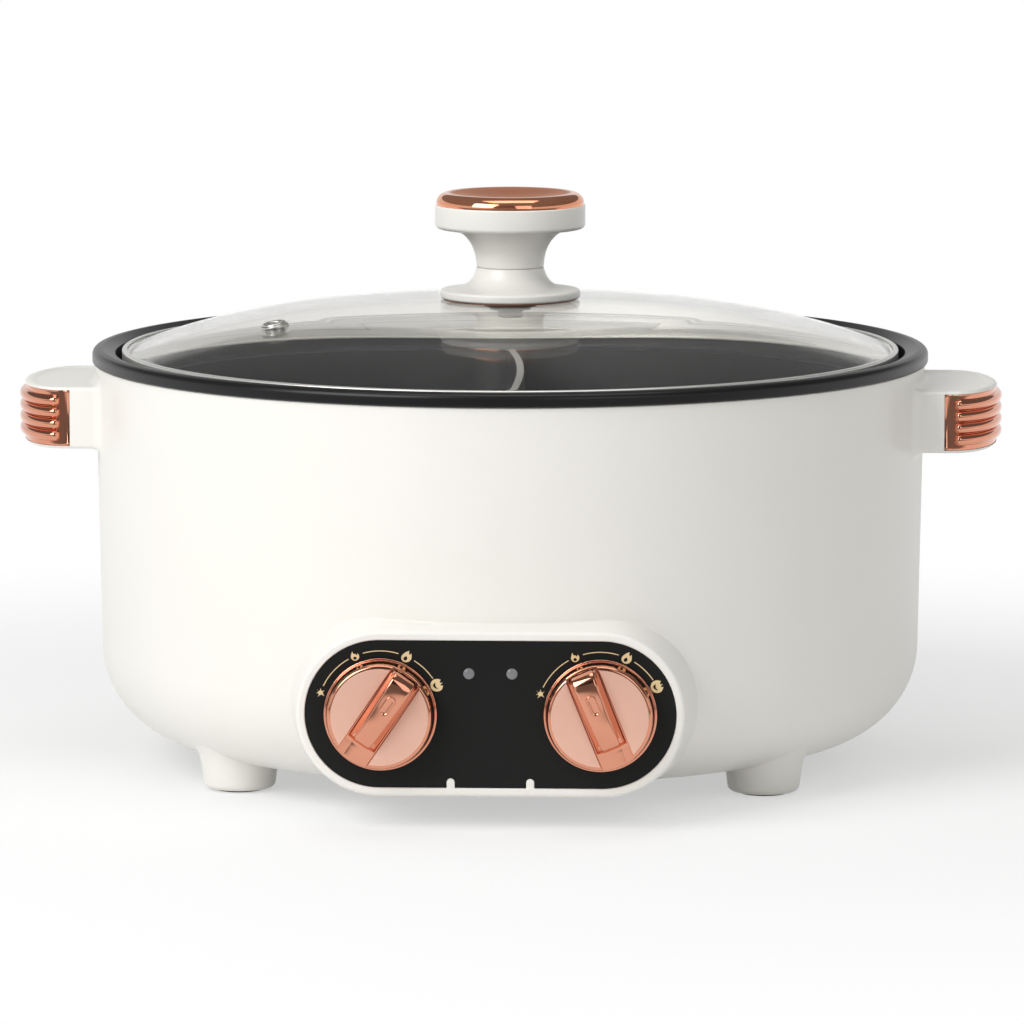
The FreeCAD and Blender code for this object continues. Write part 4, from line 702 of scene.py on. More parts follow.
def gripRibs():
    middle = (grip["low"] + grip["high"]) / 2
    lowest = middle - grip["pitch"] * (grip["ribs"] - 1) / 2
    sweep = pi / 2 - asin(grip["setback"] / handle["endDepth"])
    path = [endPoint(sweep * (2 * k / 64 - 1), -grip["ribSink"], lowest) for k in range(65)]
    ribs = shapedBy(pathCurve(path), ribTree(), {
        "Count": grip["ribs"], "Pitch": grip["pitch"] * mm, "Radius": grip["ribRadius"] * mm,
        "Material": roseGold})
    return asPart(ribs, mm)


rightGrip = joined(gripPlate(), gripRibs())
for side, part in (("right", rightGrip), ("left", mirroredX(rightGrip))):
    attach(makePiece("grip_" + side, part, roseGold, sharp=40), "housing", "rose_gold", "grip_insert_" + side)
print("grips made")


# Screws of the power inlet, and the frosted light pipes of the two pilot lights

smallScrew = {
    "spacing": 40.0, "middle": 43.7, "face": 184.5, "radius": 2.8, "high": 0.6, "slot": 0.8,
    "slotDepth": 0.42, "shank": 1.5, "tip": 178.5, "turn": 25.0,
    # how far the head's outline is drawn in, and the share of its height there
    "crown": ((0, 0), (0, 0.35), (0.12, 0.7), (0.4, 0.92), (0.9, 1)),
}
lightPipe = {
    "spacing": 15.9, "height": 58.9, "back": 164.7, "flange": 2.7, "flangeFront": 165.6, "radius": 2.05,
    "front": 170.2,
    # radius, height over the front and rounding of the lens's dome
    "dome": ((2.05, -0.02, 0.1), (1.75, -0.02, 0.1), (1.6, 0.12, 0.15), (1.025, 0.34, 0.9), (0, 0.4)),
}


def slottedHead():
    # a low round head with a straight slot: outline rings cut in two by the slot's walls
    radius, high = smallScrew["radius"], smallScrew["high"]

    def half(side):
        loops = []
        for inset, share in smallScrew["crown"]:
            r = radius - inset
            first = asin(smallScrew["slot"] / 2 / r)
            arc = [first + (pi - 2 * first) * k / 28 for k in range(29)]
            loops.append([(r * cos(a), side * r * sin(a), high * share) for a in arc])
        return lofted(loops)

    deepest = high - smallScrew["slotDepth"]
    slotFloor = turned([(0, 0), (radius, 0), (radius, deepest), (0, deepest)], count=64)
    return joined(half(-1), half(1), slotFloor)


def inletScrew(side):
    low, shank, inHead = smallScrew["tip"] - smallScrew["face"], smallScrew["shank"], 0.1
    stem = turned(roundCorners([(0, low), (shank, low, 0.2), (shank, inHead), (0, inHead)]), count=32)
    centre = Vector((side * smallScrew["spacing"] / 2, smallScrew["face"], smallScrew["middle"]))
    turn = Matrix.Rotation(radians(smallScrew["turn"] * side), 3, "Y") @ Matrix.Rotation(radians(-90), 3, "X")
    return mapped(joined(slottedHead(), stem), lambda p: turn @ p + centre)


def lightPipeLens(side):
    back, flange = lightPipe["back"], lightPipe["flange"]
    step, front = lightPipe["flangeFront"] - back, lightPipe["front"] - back
    pipe = [(0, 0), (flange, 0), (flange, step), (lightPipe["radius"], step)]
    for radius, rise, *edge in lightPipe["dome"]:
        pipe.append((radius, front + rise, *edge))
    x, z = side * lightPipe["spacing"] / 2, lightPipe["height"]
    return mapped(turned(roundCorners(pipe), count=64), lambda p: Vector((x + p.x, -back - p.z, z + p.y)))


screws = joined(inletScrew(-1), inletScrew(1))
attach(makePiece("inlet_screws_slotted", screws, brightSteel, sharp=40), "housing", "steel", "inlet_screws")
lenses = joined(lightPipeLens(-1), lightPipeLens(1))
attach(makePiece("pilot_light_lenses", lenses, lensGrey), "housing", "lamp_lens", "indicator_lenses")


# Rim ring

ring = {
    "skirtBottom": 148.0, "skirt": 157.84, "outer": 162.5, "shoulder": 161.4, "crest": 162.1,
    "crestInner": 158.6, "inner": 153.5, "innerTop": 160.3, "ledge": 150.3, "ledgeTop": 150.5,
}
rimSection = roundCorners([
    (ring["ledge"], ring["skirtBottom"]),
    (ring["skirt"], ring["skirtBottom"]),
    (ring["skirt"], shell["top"]),
    (ring["outer"], shell["top"], 0.8),
    (ring["outer"], ring["shoulder"], 2.2),
    (ring["crestInner"], ring["crest"], 2.5),
    (ring["inner"], ring["innerTop"], 0.9),
    (ring["inner"], ring["ledgeTop"], 0.3),
    (ring["ledge"], ring["ledgeTop"], 0.3),
])
rim = makePiece("rim_ring_moulding", turned(rimSection, count=288), blackSatin)
attach(rim, "housing", "black_plastic", "rim_ring")


# Bare metal edge along the top of the pot's S-shaped divider

divider = {
    "well": 142.0, "inflection": -40.0, "swing": 4.0, "turn": 2.45, "top": 147.3, "width": 2.7, "skin": 0.05,
    "crown": 0.25, "flare": 3.5, "flareReach": 7.0,
    # place across, as a share of the half width, and height, as a share of the crown
    "section": ((-1, -0.3), (-1, 0.0), (-0.6, 0.8), (0, 1), (0.6, 0.8), (1, 0.0), (1, -0.3)),
}


def dividerPath(count=60):
    # two tangent arcs that meet at the inflection, from the far wall to the near: (point, sideways direction)
    well, bend, swing = divider["well"], divider["inflection"], divider["swing"]
    farChord, nearChord = well - bend, well + bend
    farRadius = (farChord ** 2 / 4 + swing ** 2) / (2 * swing)
    lean = asin(farChord / 2 / farRadius)
    nearRadius = nearChord / 2 / sin(lean)
    farCentre = Vector((swing - farRadius, bend + farChord / 2))
    nearCentre = Vector((nearRadius * cos(lean), bend - nearChord / 2))
    path = []
    for k in range(count + 1):
        spoke = Vector((cos(lean * (1 - 2 * k / count)), sin(lean * (1 - 2 * k / count))))
        path.append((farCentre + spoke * farRadius, spoke))
    for k in range(1, count + 1):
        spoke = Vector((-cos(lean * (1 - 2 * k / count)), sin(lean * (1 - 2 * k / count))))
        path.append((nearCentre + spoke * nearRadius, -spoke))
    turn = Matrix.Rotation(radians(divider["turn"]), 2)
    return [(turn @ point, turn @ across) for point, across in path if point.length < well]


def dividerEdge():
    loops = []
    for point, across in dividerPath():
        toWall = divider["well"] - point.length
        spread = max(0.0, 1 - toWall / divider["flareReach"]) ** 2 * divider["flare"]
        half = divider["width"] / 2 + spread
        loop = []
        for part, rise in divider["section"]:
            x, y = point + across * half * part
            loop.append((x, y, divider["top"] + divider["skin"] + rise * divider["crown"]))
        loops.append(loop)
    return lofted(loops)


attach(makePiece("divider_top_edge", dividerEdge(), bareEdge, sharp=60), "housing", "nonstick")
print("ring and divider made")


# Lid: domed glass in a steel band, with a vent and a two-part knob

dome = {
    "thick": 4.0, "apex": 180.5, "edgeTop": 160.9, "edge": 150.4, "land": 1.7, "crown": 800.0,
    "crownReach": 80.0, "hole": 4.0,
}
band = {"radius": 151.0, "wall": 0.5, "topLip": 2.1, "bottomLip": 5.5, "low": 153.0, "high": 161.6}
vent = {
    "reach": 100.0, "angle": 208.0, "flange": 5.4, "bore": 2.6, "rise": 1.9, "neck": 3.8, "plate": 0.9,
    "gap": 0.1, "flare": 1.5, "roll": 0.9, "rollEdge": 0.75,
}


def domeArcs():
    # the flat crown and the side arc that leaves it without a kink and lands on the glass's edge
    lean = asin(dome["crownReach"] / dome["crown"])
    crownCentre = Vector((0, dome["apex"] - dome["crown"]))
    joint = crownCentre + Vector((sin(lean), cos(lean))) * dome["crown"]
    edge = Vector((dome["edge"] - dome["land"], dome["edgeTop"]))
    inward = Vector((-sin(lean), -cos(lean)))
    reach = edge - joint
    sideRadius = reach.dot(reach) / (2 * inward.dot(reach))
    sideCentre = joint + inward * sideRadius
    return crownCentre, lean, sideCentre, sideRadius


def domeLine(depth):
    # the dome's section from the middle hole to its edge, depth below the outside
    crownCentre, lean, sideCentre, sideRadius = domeArcs()
    edgeLean = asin((dome["edge"] - dome["land"] - sideCentre.x) / sideRadius)
    hole = asin(dome["hole"] / dome["crown"])
    line = []
    for k in range(17):
        angle = hole + (lean - hole) * k / 16
        line.append(crownCentre + Vector((sin(angle), cos(angle))) * (dome["crown"] - depth))
    for k in range(1, 33):
        angle = lean + (edgeLean - lean) * k / 32
        line.append(sideCentre + Vector((sin(angle), cos(angle))) * (sideRadius - depth))
    return line


def glassProfile():
    outside, inside = domeLine(0), domeLine(dome["thick"])
    low = dome["edgeTop"] - dome["thick"]
    edge = [Vector((dome["edge"], dome["edgeTop"])), Vector((dome["edge"], low)), Vector((inside[-1].x, low))]
    return outside + edge + list(reversed(inside))


def bandSection():
    # a strip that grips the glass from its top face, round its edge and under it
    radius, wall, low, high = band["radius"], band["wall"], band["low"], band["high"]
    topEnd, bottomEnd = radius - band["topLip"], radius - band["bottomLip"]
    return roundCorners([
        (bottomEnd, low),
        (radius, low, wall),
        (radius, high, 0.9),
        (topEnd, high, 0.45),
        (topEnd, high - wall, 0.2),
        (radius - wall, high - wall),
        (radius - wall, low + wall),
        (bottomEnd, low + wall),
    ], step=15)


lidGlass = makePiece("glass_dome", turned(glassProfile(), count=288), glass, sharp=25)
lidGlass.visible_shadow = False  # the lamps reach the pot through it
attach(lidGlass, "lid", "clear_glass", "lid_glass")
lidBand = makePiece("steel_lid_band", turned(bandSection(), count=288), bandSteelPaintedPale)
attach(lidBand, "lid", "bright_steel", "lid_band")


def ventPart():
    # a rolled eyelet through the glass, square to its surface
    under, over = -dome["thick"] - vent["gap"], vent["gap"] + vent["plate"]
    rolled = vent["neck"] + vent["roll"]
    part = turned(roundCorners([
        (vent["bore"], under - vent["plate"]),
        (vent["neck"] + vent["flare"], under - vent["plate"]),
        (vent["neck"] + vent["flare"], under),
        (vent["neck"], under),
        (vent["neck"], vent["gap"]),
        (vent["flange"], vent["gap"]),
        (vent["flange"], over, 0.45),
        (rolled, over, 0.3),
        (rolled, vent["rise"], vent["rollEdge"]),
        (vent["bore"], vent["rise"], vent["rollEdge"]),
    ], step=10), count=96)
    sideCentre, sideRadius = domeArcs()[2:]
    angle = asin((vent["reach"] - sideCentre.x) / sideRadius)
    height = sideCentre.y + sideRadius * cos(angle)
    toGlass = Matrix.Rotation(radians(vent["angle"]), 4, "Z")
    toGlass = toGlass @ Matrix.Translation((vent["reach"], 0, height)) @ Matrix.Rotation(angle, 4, "Y")
    return mapped(part, lambda p: toGlass @ p)


attach(makePiece("vent_grommet", ventPart(), ventSteel), "lid", "bright_steel", "steam_vent")

knob = {
    "gasket": 25.8, "gasketLow": 179.4, "gasketEdge": 180.0, "gasketTop": 181.6, "lipLow": 180.6,
    "skirt": 27.2, "skirtTop": 183.9, "skirtEnd": 184.2, "seam": 192.8, "waist": 13.1, "spigot": 12.1,
    "groove": 0.22, "grooveEdge": 0.15, "collar": 29.2, "collarStart": (22.0, 207.4), "collarLow": 207.9,
    "collarTop": 217.0,
    "capRadius": 28.8, "capTop": 221.7, "roll": 4.2, "crest": 22.0,
    # radius and height down the foot and up the neck, and radius and depth of the cap's dish
    "footLine": ((21.6, 184.3), (19.4, 184.9), (17.4, 185.9), (15.7, 187.2), (14.5, 188.8), (13.7, 190.5),
                 (13.2, 192.0)),
    "neckLine": ((13.15, 193.8), (13.4, 195.9), (13.9, 198.3), (14.8, 200.7), (16.1, 202.9), (17.8, 204.8),
                 (19.3, 206.0), (21.2, 207.1)),
    "dishLine": ((22.0, 0), (18.0, 0.45), (12.0, 1.4), (6.0, 2.0), (0, 2.2)),
}


def knobGasket():
    return turned(roundCorners([
        (0, knob["gasketTop"]), (knob["gasket"], knob["gasketTop"], 0.3),
        (knob["gasket"], knob["gasketEdge"]), (0, knob["gasketLow"]),
    ]), count=128)


def seamLine(side):
    # half of the narrow groove that is left open where the handgrip sits on the foot; side is 1 above it
    spigot, waist, seam, edge = knob["spigot"], knob["waist"], knob["seam"], knob["grooveEdge"]
    wall, rim = seam + side * knob["groove"], seam + side * (knob["groove"] + edge)
    return [Vector(point) for point in (
        (0, seam), (spigot, seam), (spigot, wall), (waist - edge, wall), (waist, rim))]


def knobFoot():
    skirt = roundCorners([
        (0, knob["gasketTop"]), (knob["gasket"], knob["gasketTop"]), (knob["gasket"], knob["lipLow"]),
        (knob["skirt"], knob["lipLow"], 1.0), (knob["skirt"], knob["skirtTop"], 0.9),
        (knob["footLine"][0][0], knob["skirtEnd"])], step=10)[:-1]
    return turned(skirt + smoothLine(knob["footLine"]) + seamLine(-1)[::-1], count=128)


def knobHandgrip():
    collar = roundCorners([
        knob["collarStart"], (knob["collar"], knob["collarLow"], 1.8),
        (knob["collar"], knob["collarTop"], 0.5), (0, knob["collarTop"])])
    return turned(seamLine(1) + smoothLine(knob["neckLine"]) + collar, count=128)


def knobCap():
    rolled = roundCorners([
        (0, knob["collarTop"]), (knob["capRadius"], knob["collarTop"]),
        (knob["capRadius"], knob["capTop"], knob["roll"]), (knob["crest"], knob["capTop"])], step=5)
    dish = smoothLine([(radius, knob["capTop"] - depth) for radius, depth in knob["dishLine"]])
    return turned(rolled[:-1] + dish, count=128)


for name, part, material, slot, node in (
        ("knob_gasket_disc", knobGasket(), gasketBrown, "gasket", "lid_knob_gasket"),
        ("knob_foot", knobFoot(), knobIvoryPaintedLighter, "ivory_plastic", "lid_knob_base"),
        ("knob_handgrip", knobHandgrip(), knobIvoryPaintedLighter, "ivory_plastic", "lid_knob_grip"),
        ("knob_cap_plated", knobCap(), capCopper, "rose_gold", "lid_knob_cap")):
    attach(makePiece(name, part, material, sharp=40), "lid", slot, node)
print("lid made")


# Printed heat scale round each control knob

scale = {
    "spacing": 81.2, "middle": 43.7, "face": 170.0, "film": 0.04, "radius": 23.5, "line": 0.34,
    "arcs": ((154.0, 120.0), (106.0, 73.5), (58.0, 34.5)),
}
flames = (
    # angle round the knob, size, outline and hole; a third value marks a pointed tip
    {"angle": 160.5, "size": 3.4, "outline": (
        (-0.45, 0.42, 1), (-0.16, 0.16), (0.02, 0.5, 1), (0.14, 0.18), (0.48, 0.3, 1), (0.26, 0.0),
        (0.42, -0.4, 1), (0.06, -0.24), (-0.3, -0.48, 1), (-0.22, -0.12), (-0.5, -0.1, 1), (-0.24, 0.1)),
     "hole": ()},
    {"angle": 113.5, "size": 3.5, "outline": (
        (-0.3, 0.5, 1), (-0.42, 0.05), (-0.4, -0.25), (0.0, -0.5), (0.4, -0.25), (0.42, 0.08), (0.28, 0.3, 1),
        (0.16, 0.1), (0.02, 0.22), (-0.12, 0.2)),
     "hole": ((-0.02, -0.04, 1), (0.19, -0.22), (0.0, -0.4), (-0.18, -0.22))},
    {"angle": 66.0, "size": 4.3, "outline": (
        (0.28, 0.5, 1), (-0.1, 0.34), (-0.4, 0.02), (-0.38, -0.3), (0.0, -0.5), (0.38, -0.3), (0.46, 0.05),
        (0.44, 0.28, 1), (0.3, 0.16), (0.24, 0.3)),
     "hole": ((0.02, 0.04, 1), (0.08, -0.2), (-0.12, -0.34), (-0.24, -0.18), (-0.12, -0.02))},
    {"angle": 27.5, "size": 4.7, "outline": (
        (0.0, 0.5), (-0.36, 0.36), (-0.5, 0.0), (-0.36, -0.36), (0.0, -0.5), (0.36, -0.36), (0.5, -0.02, 1),
        (0.3, 0.0), (0.46, 0.2, 1), (0.24, 0.22), (0.3, 0.44, 1)),
     "hole": ((-0.1, 0.22, 1), (-0.3, 0.0), (-0.14, -0.24), (0.12, -0.3, 1), (-0.06, -0.14), (-0.12, 0.02))},
)


def flatCurve(outlines):
    # a filled flat curve from closed outlines; a point with a third value keeps its corner
    curve = bpy.data.curves.new("print", "CURVE")
    curve.dimensions = "2D"
    curve.fill_mode = "BOTH"
    curve.resolution_u = 6
    for outline in outlines:
        spline = curve.splines.new("BEZIER")
        spline.bezier_points.add(len(outline) - 1)
        spline.use_cyclic_u = True
        for target, point in zip(spline.bezier_points, outline):
            target.co = (point[0], point[1], 0)
            target.handle_left_type = target.handle_right_type = "VECTOR" if len(point) > 2 else "AUTO"
    curve.extrude = scale["film"] / 2
    return asPart(evaluatedMesh(addObject("print", curve)))


def scaleLine(first, last, count=24):
    # one printed arc between two angles
    def arc(radius):
        angles = [radians(first + (last - first) * k / count) for k in range(count + 1)]
        return [(radius * cos(angle), radius * sin(angle)) for angle in angles]

    outline = arc(scale["radius"] + scale["line"] / 2) + arc(scale["radius"] - scale["line"] / 2)[::-1]
    half = scale["film"] / 2
    return lofted([[(x, y, height) for x, y in outline] for height in (-half, half)])


def flamePrint(flame):
    size, angle = flame["size"], radians(flame["angle"])
    lines = [line for line in (flame["outline"], flame["hole"]) if line]
    shape = flatCurve([[(p[0] * size, p[1] * size, *p[2:]) for p in line] for line in lines])
    move = Vector((scale["radius"] * cos(angle), scale["radius"] * sin(angle), 0))
    return mapped(shape, lambda p: p + move)


def heatScale(side):
    printed = joined(*[scaleLine(*arc) for arc in scale["arcs"]], *[flamePrint(flame) for flame in flames])
    x, face, z = side * scale["spacing"] / 2, scale["face"], scale["middle"]
    return mapped(printed, lambda p: Vector((x + p.x, -face - p.z, z + p.y)))


heatScales = makePiece("printed_heat_scales", joined(heatScale(-1), heatScale(1)), printedGold)
attach(heatScales, "housing", "fascia_black")
print("print made")


# Control knobs: a turned skirt, two satin half faces and a polished blade in the channel between them

dial = {
    "spacing": 81.2, "middle": 43.7, "back": 170.5, "left": 56.0, "right": 112.0,
    "skirt": 21.0, "skirtHeight": 1.4, "wallLow": 20.3, "wallHigh": 19.5, "bodyTop": 7.1, "seat": 12.0,
    "seatDepth": 1.2, "channel": 6.1, "channelTaper": 0.25, "faceLow": 6.4,
    "plate": {"radius": 19.4, "height": 8.0, "bevel": 1.3, "margin": 0.0},
    "satin": {"radius": 18.0, "height": 8.04, "bevel": 0.06, "margin": 0.45},
}
blade = {
    "root": 0.6, "base": 5.85, "headTop": 4.1, "tailTop": 3.2, "taperStart": -11.0, "taperLength": 24.0,
    "noseStart": 15.4, "noseInset": 1.6, "nosePower": 2.5, "flankSlope": 0.9, "bow": 0.5, "bowRise": 4.0,
    "shoulder": 1.1, "shoulderShare": 0.45, "crown": 0.18,
    # place along the pointer and height of the blade there
    "ridge": ((-18.6, 7.15), (-14.6, 7.2), (-12.6, 7.3), (-12.1, 8.2), (-11.6, 9.9), (-10.4, 11.3),
              (-8.0, 12.2), (-3.0, 12.9), (4.0, 13.15), (10.0, 13.5), (14.0, 13.3), (16.4, 12.3),
              (17.9, 10.4), (18.6, 8.4)),
}
mark = {
    "centre": 6.0, "length": 8.3, "width": 3.9, "high": 0.55, "edge": 0.45, "root": 0.6,
    # how far in from the pill's outline, and depth of the dished middle there
    "dish": ((0.6, 0.03), (0.8, 0.14), (1.0, 0.27), (1.2, 0.33), (1.5, 0.35)),
}


def dialBody():
    return turned(roundCorners([
        (0, dial["seatDepth"]), (dial["seat"], dial["seatDepth"]), (dial["seat"], 0), (dial["skirt"], 0, 0.3),
        (dial["skirt"], dial["skirtHeight"], 0.5), (dial["wallLow"], dial["skirtHeight"] + 0.1, 0.2),
        (dial["wallHigh"], dial["bodyTop"], 0.8), (0, dial["bodyTop"])], step=10), count=144)


def halfFace(side, sheet):
    # a half disc with a rounded rim, on one side of the channel
    def outline(inset, height):
        radius = sheet["radius"] - inset
        edge = dial["channel"] + sheet["margin"] + inset * dial["channelTaper"]
        first = asin(edge / radius)
        arc = [first + (pi - 2 * first) * k / 72 for k in range(73)]
        rim = [(radius * cos(a), side * radius * sin(a), height) for a in arc]
        reach = radius * cos(first)
        return rim + [(-reach + 2 * reach * k / 24, side * edge, height) for k in range(1, 24)]

    bevel, top = sheet["bevel"], sheet["height"]
    loops = [outline(0, dial["faceLow"])]
    for angle in range(0, 91, 10):
        loops.append(outline(bevel * (1 - cos(radians(angle))), top - bevel * (1 - sin(radians(angle)))))
    return lofted(loops)


ridgeLine = [tuple(point) for point in smoothLine(blade["ridge"], 6)]


def ridgeHeight(along):
    for (u, h), (nextU, nextH) in zip(ridgeLine, ridgeLine[1:]):
        if along <= nextU:
            return h + (nextH - h) * (along - u) / (nextU - u)
    return ridgeLine[-1][1]


def bladeSection(along, last):
    # one side of the blade from its root to the middle of its top: bowed flank, round shoulder, slight crown
    height, bodyTop = ridgeHeight(along), dial["bodyTop"]
    rise = height - bodyTop
    taper = min(1.0, max(0.0, (along - blade["taperStart"]) / blade["taperLength"]))
    nose = max(0.0, (along - blade["noseStart"]) / (last - blade["noseStart"]))
    base = blade["base"] - blade["noseInset"] * nose ** blade["nosePower"]
    top = blade["tailTop"] + (blade["headTop"] - blade["tailTop"]) * taper
    top = min(top, base - blade["flankSlope"])
    shoulder = min(blade["shoulder"], rise * blade["shoulderShare"])
    flankTop = (top + shoulder * 0.35, height - shoulder)
    side = [(base, bodyTop - blade["root"]), (base, bodyTop)]
    for t in (0.2, 0.4, 0.6, 0.8):
        bow = blade["bow"] * 4 * t * (1 - t) * min(1.0, rise / blade["bowRise"])
        side.append((base + (flankTop[0] - base) * t + bow, bodyTop + (flankTop[1] - bodyTop) * t))
    for angle in range(0, 91, 15):
        a = radians(angle)
        side.append((top - shoulder * 0.65 + shoulder * cos(a), height - shoulder * (1 - sin(a))))
    return side + [(side[-1][0] * t, height + blade["crown"] * (1 - t * t)) for t in (0.8, 0.55, 0.3)]


def dialBlade(count=110):
    first, last = blade["ridge"][0][0], blade["ridge"][-1][0]
    loops = []
    for k in range(count + 1):
        along = first + (last - first) * k / count
        half = bladeSection(along, last)
        middle = (0.0, ridgeHeight(along) + blade["crown"])
        loops.append([(along, v, w) for v, w in half + [middle] + [(-v, w) for v, w in reversed(half)]])
    return lofted(loops)


def dialMark(count=48):
    # the raised pill on the blade, following its top
    radius, straight = mark["width"] / 2, mark["length"] / 2 - mark["width"] / 2

    def outline(inset, lift):
        points = []
        for k in range(count):
            angle = 2 * pi * k / count
            end = straight if cos(angle) > 0 else -straight
            along = mark["centre"] + end + (radius - inset) * cos(angle)
            points.append((along, (radius - inset) * sin(angle), ridgeHeight(along) + blade["crown"] + lift))
        return points

    loops = [outline(0, -mark["root"])]
    for angle in range(0, 91, 15):
        a = radians(angle)
        loops.append(outline(mark["edge"] * (1 - cos(a)), mark["high"] * sin(a)))
    return lofted(loops + [outline(inset, mark["high"] - sunk) for inset, sunk in mark["dish"]])


def onPanel(part, side, pointer):
    # turns a knob's own frame (pointer, across, outward) to its place on the panel
    turn = radians(pointer)
    along, across = Vector((cos(turn), 0, sin(turn))), Vector((-sin(turn), 0, cos(turn)))
    centre = Vector((side * dial["spacing"] / 2, -dial["back"], dial["middle"]))
    return mapped(part, lambda p: centre + along * p.x + across * p.y + Vector((0, -p.z, 0)))


plates, satin = (joined(halfFace(-1, dial[sheet]), halfFace(1, dial[sheet])) for sheet in ("plate", "satin"))
polished = joined(dialBody(), dialBlade(), dialMark(), plates)
for side, name in ((-1, "left"), (1, "right")):
    node = "control_knob_" + name
    body = makePiece(node + "_body", onPanel(polished, side, dial[name]), roseGold, sharp=38)
    attach(body, "knob_" + name, "rose_gold", node)
    faces = makePiece(node + "_faces", onPanel(satin, side, dial[name]), knobFaces, sharp=38)
    attach(faces, "knob_" + name, "rose_gold")
print("control knobs made")


# Studio: floor, world, lamps and camera

studio = {
    "white": 1.0, "ambient": 0.36,
    # paper: brightness range, half its side in millimetres, and the share of it that glows near the pot and
    # further off, in metres
    "paper": (0.90, 0.93), "side": 30000, "glowNear": 0.5, "glowFar": 1.0, "near": 0.22, "far": 0.6,
    # walls as mirrored by the pot: the sweep up to its soft top edge (heights are sines), and above it
    "mirrored": 0.86, "horizonTop": 0.28, "horizonSoft": 0.015, "upper": 0.16,
    # the darker room behind the camera: its level, where it starts on the floor in metres, and its angles
    "behindCamera": 0.22, "darkNear": 0.3, "darkFar": 0.8, "darkAngles": (38, 18),
}
camera = {"distance": 2893.0, "azimuth": 2.45, "pitch": 7.61, "aim": (0.7, 0.0, 96.4), "lens": 260.4}
lamps = (
    # directions in degrees, distance and size in millimetres, power in watts
    {"name": "key", "azimuth": -42, "elevation": 33, "distance": 1500, "size": (900, 900), "power": 13},
    {"name": "fill", "azimuth": 24, "elevation": 22, "distance": 1700, "size": (700, 900), "power": 2.6},
    {"name": "top", "azimuth": 10, "elevation": 84, "distance": 1400, "size": (1100, 700), "power": 5},
)


def aimed(azimuth, elevation, distance, target):
    # a place seen from the target in a direction, and the turn that looks back at it
    a, e = radians(azimuth), radians(elevation)
    offset = Vector((sin(a) * cos(e), -cos(a) * cos(e), sin(e)))
    place = Vector(target) + offset * distance
    return Matrix.Translation(place * mm) @ offset.to_track_quat("Z", "Y").to_matrix().to_4x4()


def studioFloor():
    # matt white paper that glows into the background; mirrored, it darkens towards the room behind the camera
    material = bpy.data.materials.new("paperSweep")
    material.use_nodes = True
    tree = material.node_tree
    tree.nodes.clear()
    darkest, palest = studio["paper"]
    grain = addNode(tree, "ShaderNodeMapRange", {
        "Value": surfaceNoise(tree, 3.0), "To Min": darkest, "To Max": palest}).outputs["Result"]
    paper = addNode(tree, "ShaderNodeBsdfDiffuse", {"Color": grain})
    rays = addNode(tree, "ShaderNodeLightPath").outputs
    coords = addNode(tree, "ShaderNodeTexCoord").outputs["Object"]
    depth = addNode(tree, "ShaderNodeSeparateXYZ", {"Vector": coords}).outputs["Y"]
    inFront = addNode(tree, "ShaderNodeMapRange", {
        "Value": depth, "From Min": -studio["darkFar"], "From Max": -studio["darkNear"],
        "To Min": studio["behindCamera"], "To Max": studio["white"]}, interpolation_type="SMOOTHSTEP")
    level = addNode(tree, "ShaderNodeMix", {
        "Factor": rays["Is Glossy Ray"], 2: studio["white"], 3: inFront.outputs["Result"]}).outputs[0]
    glow = addNode(tree, "ShaderNodeEmission", {"Color": (1, 1, 1, 1), "Strength": level})
    seen = rays["Is Camera Ray"]
    for kind in ("Is Glossy Ray", "Is Transmission Ray"):
        seen = addNode(tree, "ShaderNodeMath", {0: seen, 1: rays[kind]}, operation="MAXIMUM").outputs[0]
    away = addNode(tree, "ShaderNodeVectorMath", {0: coords}, operation="LENGTH")
    fade = addNode(tree, "ShaderNodeMapRange", {
        "Value": away.outputs["Value"], "From Min": studio["near"], "From Max": studio["far"],
        "To Min": studio["glowNear"], "To Max": studio["glowFar"]}, interpolation_type="SMOOTHSTEP")
    share = addNode(tree, "ShaderNodeMath", {0: seen, 1: fade.outputs["Result"]}, operation="MULTIPLY")
    mixed = addNode(tree, "ShaderNodeMixShader", {
        "Fac": share.outputs[0], 1: paper.outputs["BSDF"], 2: glow.outputs["Emission"]})
    addNode(tree, "ShaderNodeOutputMaterial", {"Surface": mixed.outputs["Shader"]})
    side = studio["side"]
    corners = [(-side, -side, 0), (side, -side, 0), (side, side, 0), (-side, side, 0)]
    makePiece("paper_sweep", (corners, [[0, 1, 2, 3]]), material)


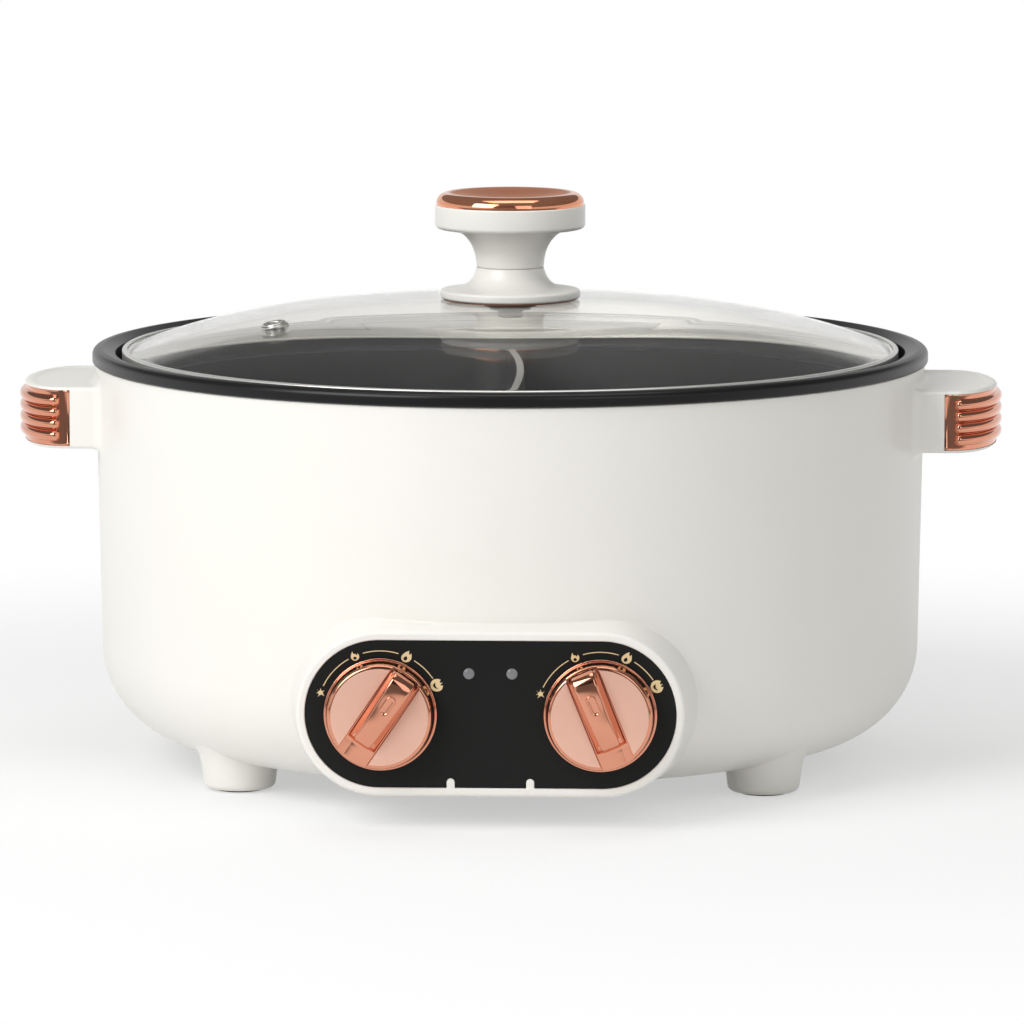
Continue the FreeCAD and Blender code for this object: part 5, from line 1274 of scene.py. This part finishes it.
def studioWorld():
    # white to the camera; the pot mirrors a white sweep with a darker studio above and behind the camera
    world = bpy.data.worlds.new("studio")
    bpy.context.scene.world = world
    world.use_nodes = True
    tree = world.node_tree
    tree.nodes.clear()
    direction = addNode(tree, "ShaderNodeTexCoord").outputs["Generated"]
    height = addNode(tree, "ShaderNodeSeparateXYZ", {"Vector": direction}).outputs["Z"]
    top, soft = studio["horizonTop"], studio["horizonSoft"]
    sweep = addNode(tree, "ShaderNodeMapRange", {
        "Value": height, "From Min": top - soft, "From Max": top + soft,
        "To Min": studio["mirrored"], "To Max": studio["upper"]}, interpolation_type="SMOOTHSTEP")
    toCamera = aimed(camera["azimuth"], camera["pitch"], 1.0, (0, 0, 0)).to_3x3() @ Vector((0, 0, 1))
    nearness = addNode(tree, "ShaderNodeVectorMath", {0: direction, 1: toCamera}, operation="DOT_PRODUCT")
    outer, inner = (cos(radians(angle)) for angle in studio["darkAngles"])
    darkened = addNode(tree, "ShaderNodeMapRange", {
        "Value": nearness.outputs["Value"], "From Min": outer, "From Max": inner,
        "To Min": 1.0, "To Max": studio["behindCamera"]}, interpolation_type="SMOOTHSTEP")
    room = addNode(tree, "ShaderNodeMath", {
        0: sweep.outputs["Result"], 1: darkened.outputs["Result"]}, operation="MULTIPLY").outputs[0]
    rays = addNode(tree, "ShaderNodeLightPath").outputs
    seen = addNode(tree, "ShaderNodeMath", {
        0: rays["Is Glossy Ray"], 1: rays["Is Transmission Ray"]}, operation="MAXIMUM").outputs[0]
    lit = addNode(tree, "ShaderNodeMix", {"Factor": seen, 2: studio["ambient"], 3: room}).outputs[0]
    shown = addNode(tree, "ShaderNodeMix", {"Factor": rays["Is Camera Ray"], 2: lit, 3: studio["white"]})
    background = addNode(tree, "ShaderNodeBackground", {"Color": (1, 1, 1, 1), "Strength": shown.outputs[0]})
    addNode(tree, "ShaderNodeOutputWorld", {"Surface": background.outputs["Background"]})


def studioLamps():
    for lamp in lamps:
        light = bpy.data.lights.new(lamp["name"] + "Softbox", "AREA")
        light.shape = "RECTANGLE"
        light.size, light.size_y = lamp["size"][0] * mm, lamp["size"][1] * mm
        light.energy = lamp["power"]
        holder = addObject(lamp["name"] + "Softbox", light)
        holder.matrix_world = aimed(lamp["azimuth"], lamp["elevation"], lamp["distance"], camera["aim"])


def studioCamera():
    lens = bpy.data.cameras.new("studioCamera")
    lens.lens = camera["lens"]
    lens.sensor_width = 36.0
    lens.clip_end = 100.0
    holder = addObject("studioCamera", lens)
    holder.matrix_world = aimed(camera["azimuth"], camera["pitch"], camera["distance"], camera["aim"])
    bpy.context.scene.camera = holder


studioFloor()
studioWorld()
studioLamps()
studioCamera()
bpy.context.scene.view_settings.view_transform = "Standard"
print("studio set")
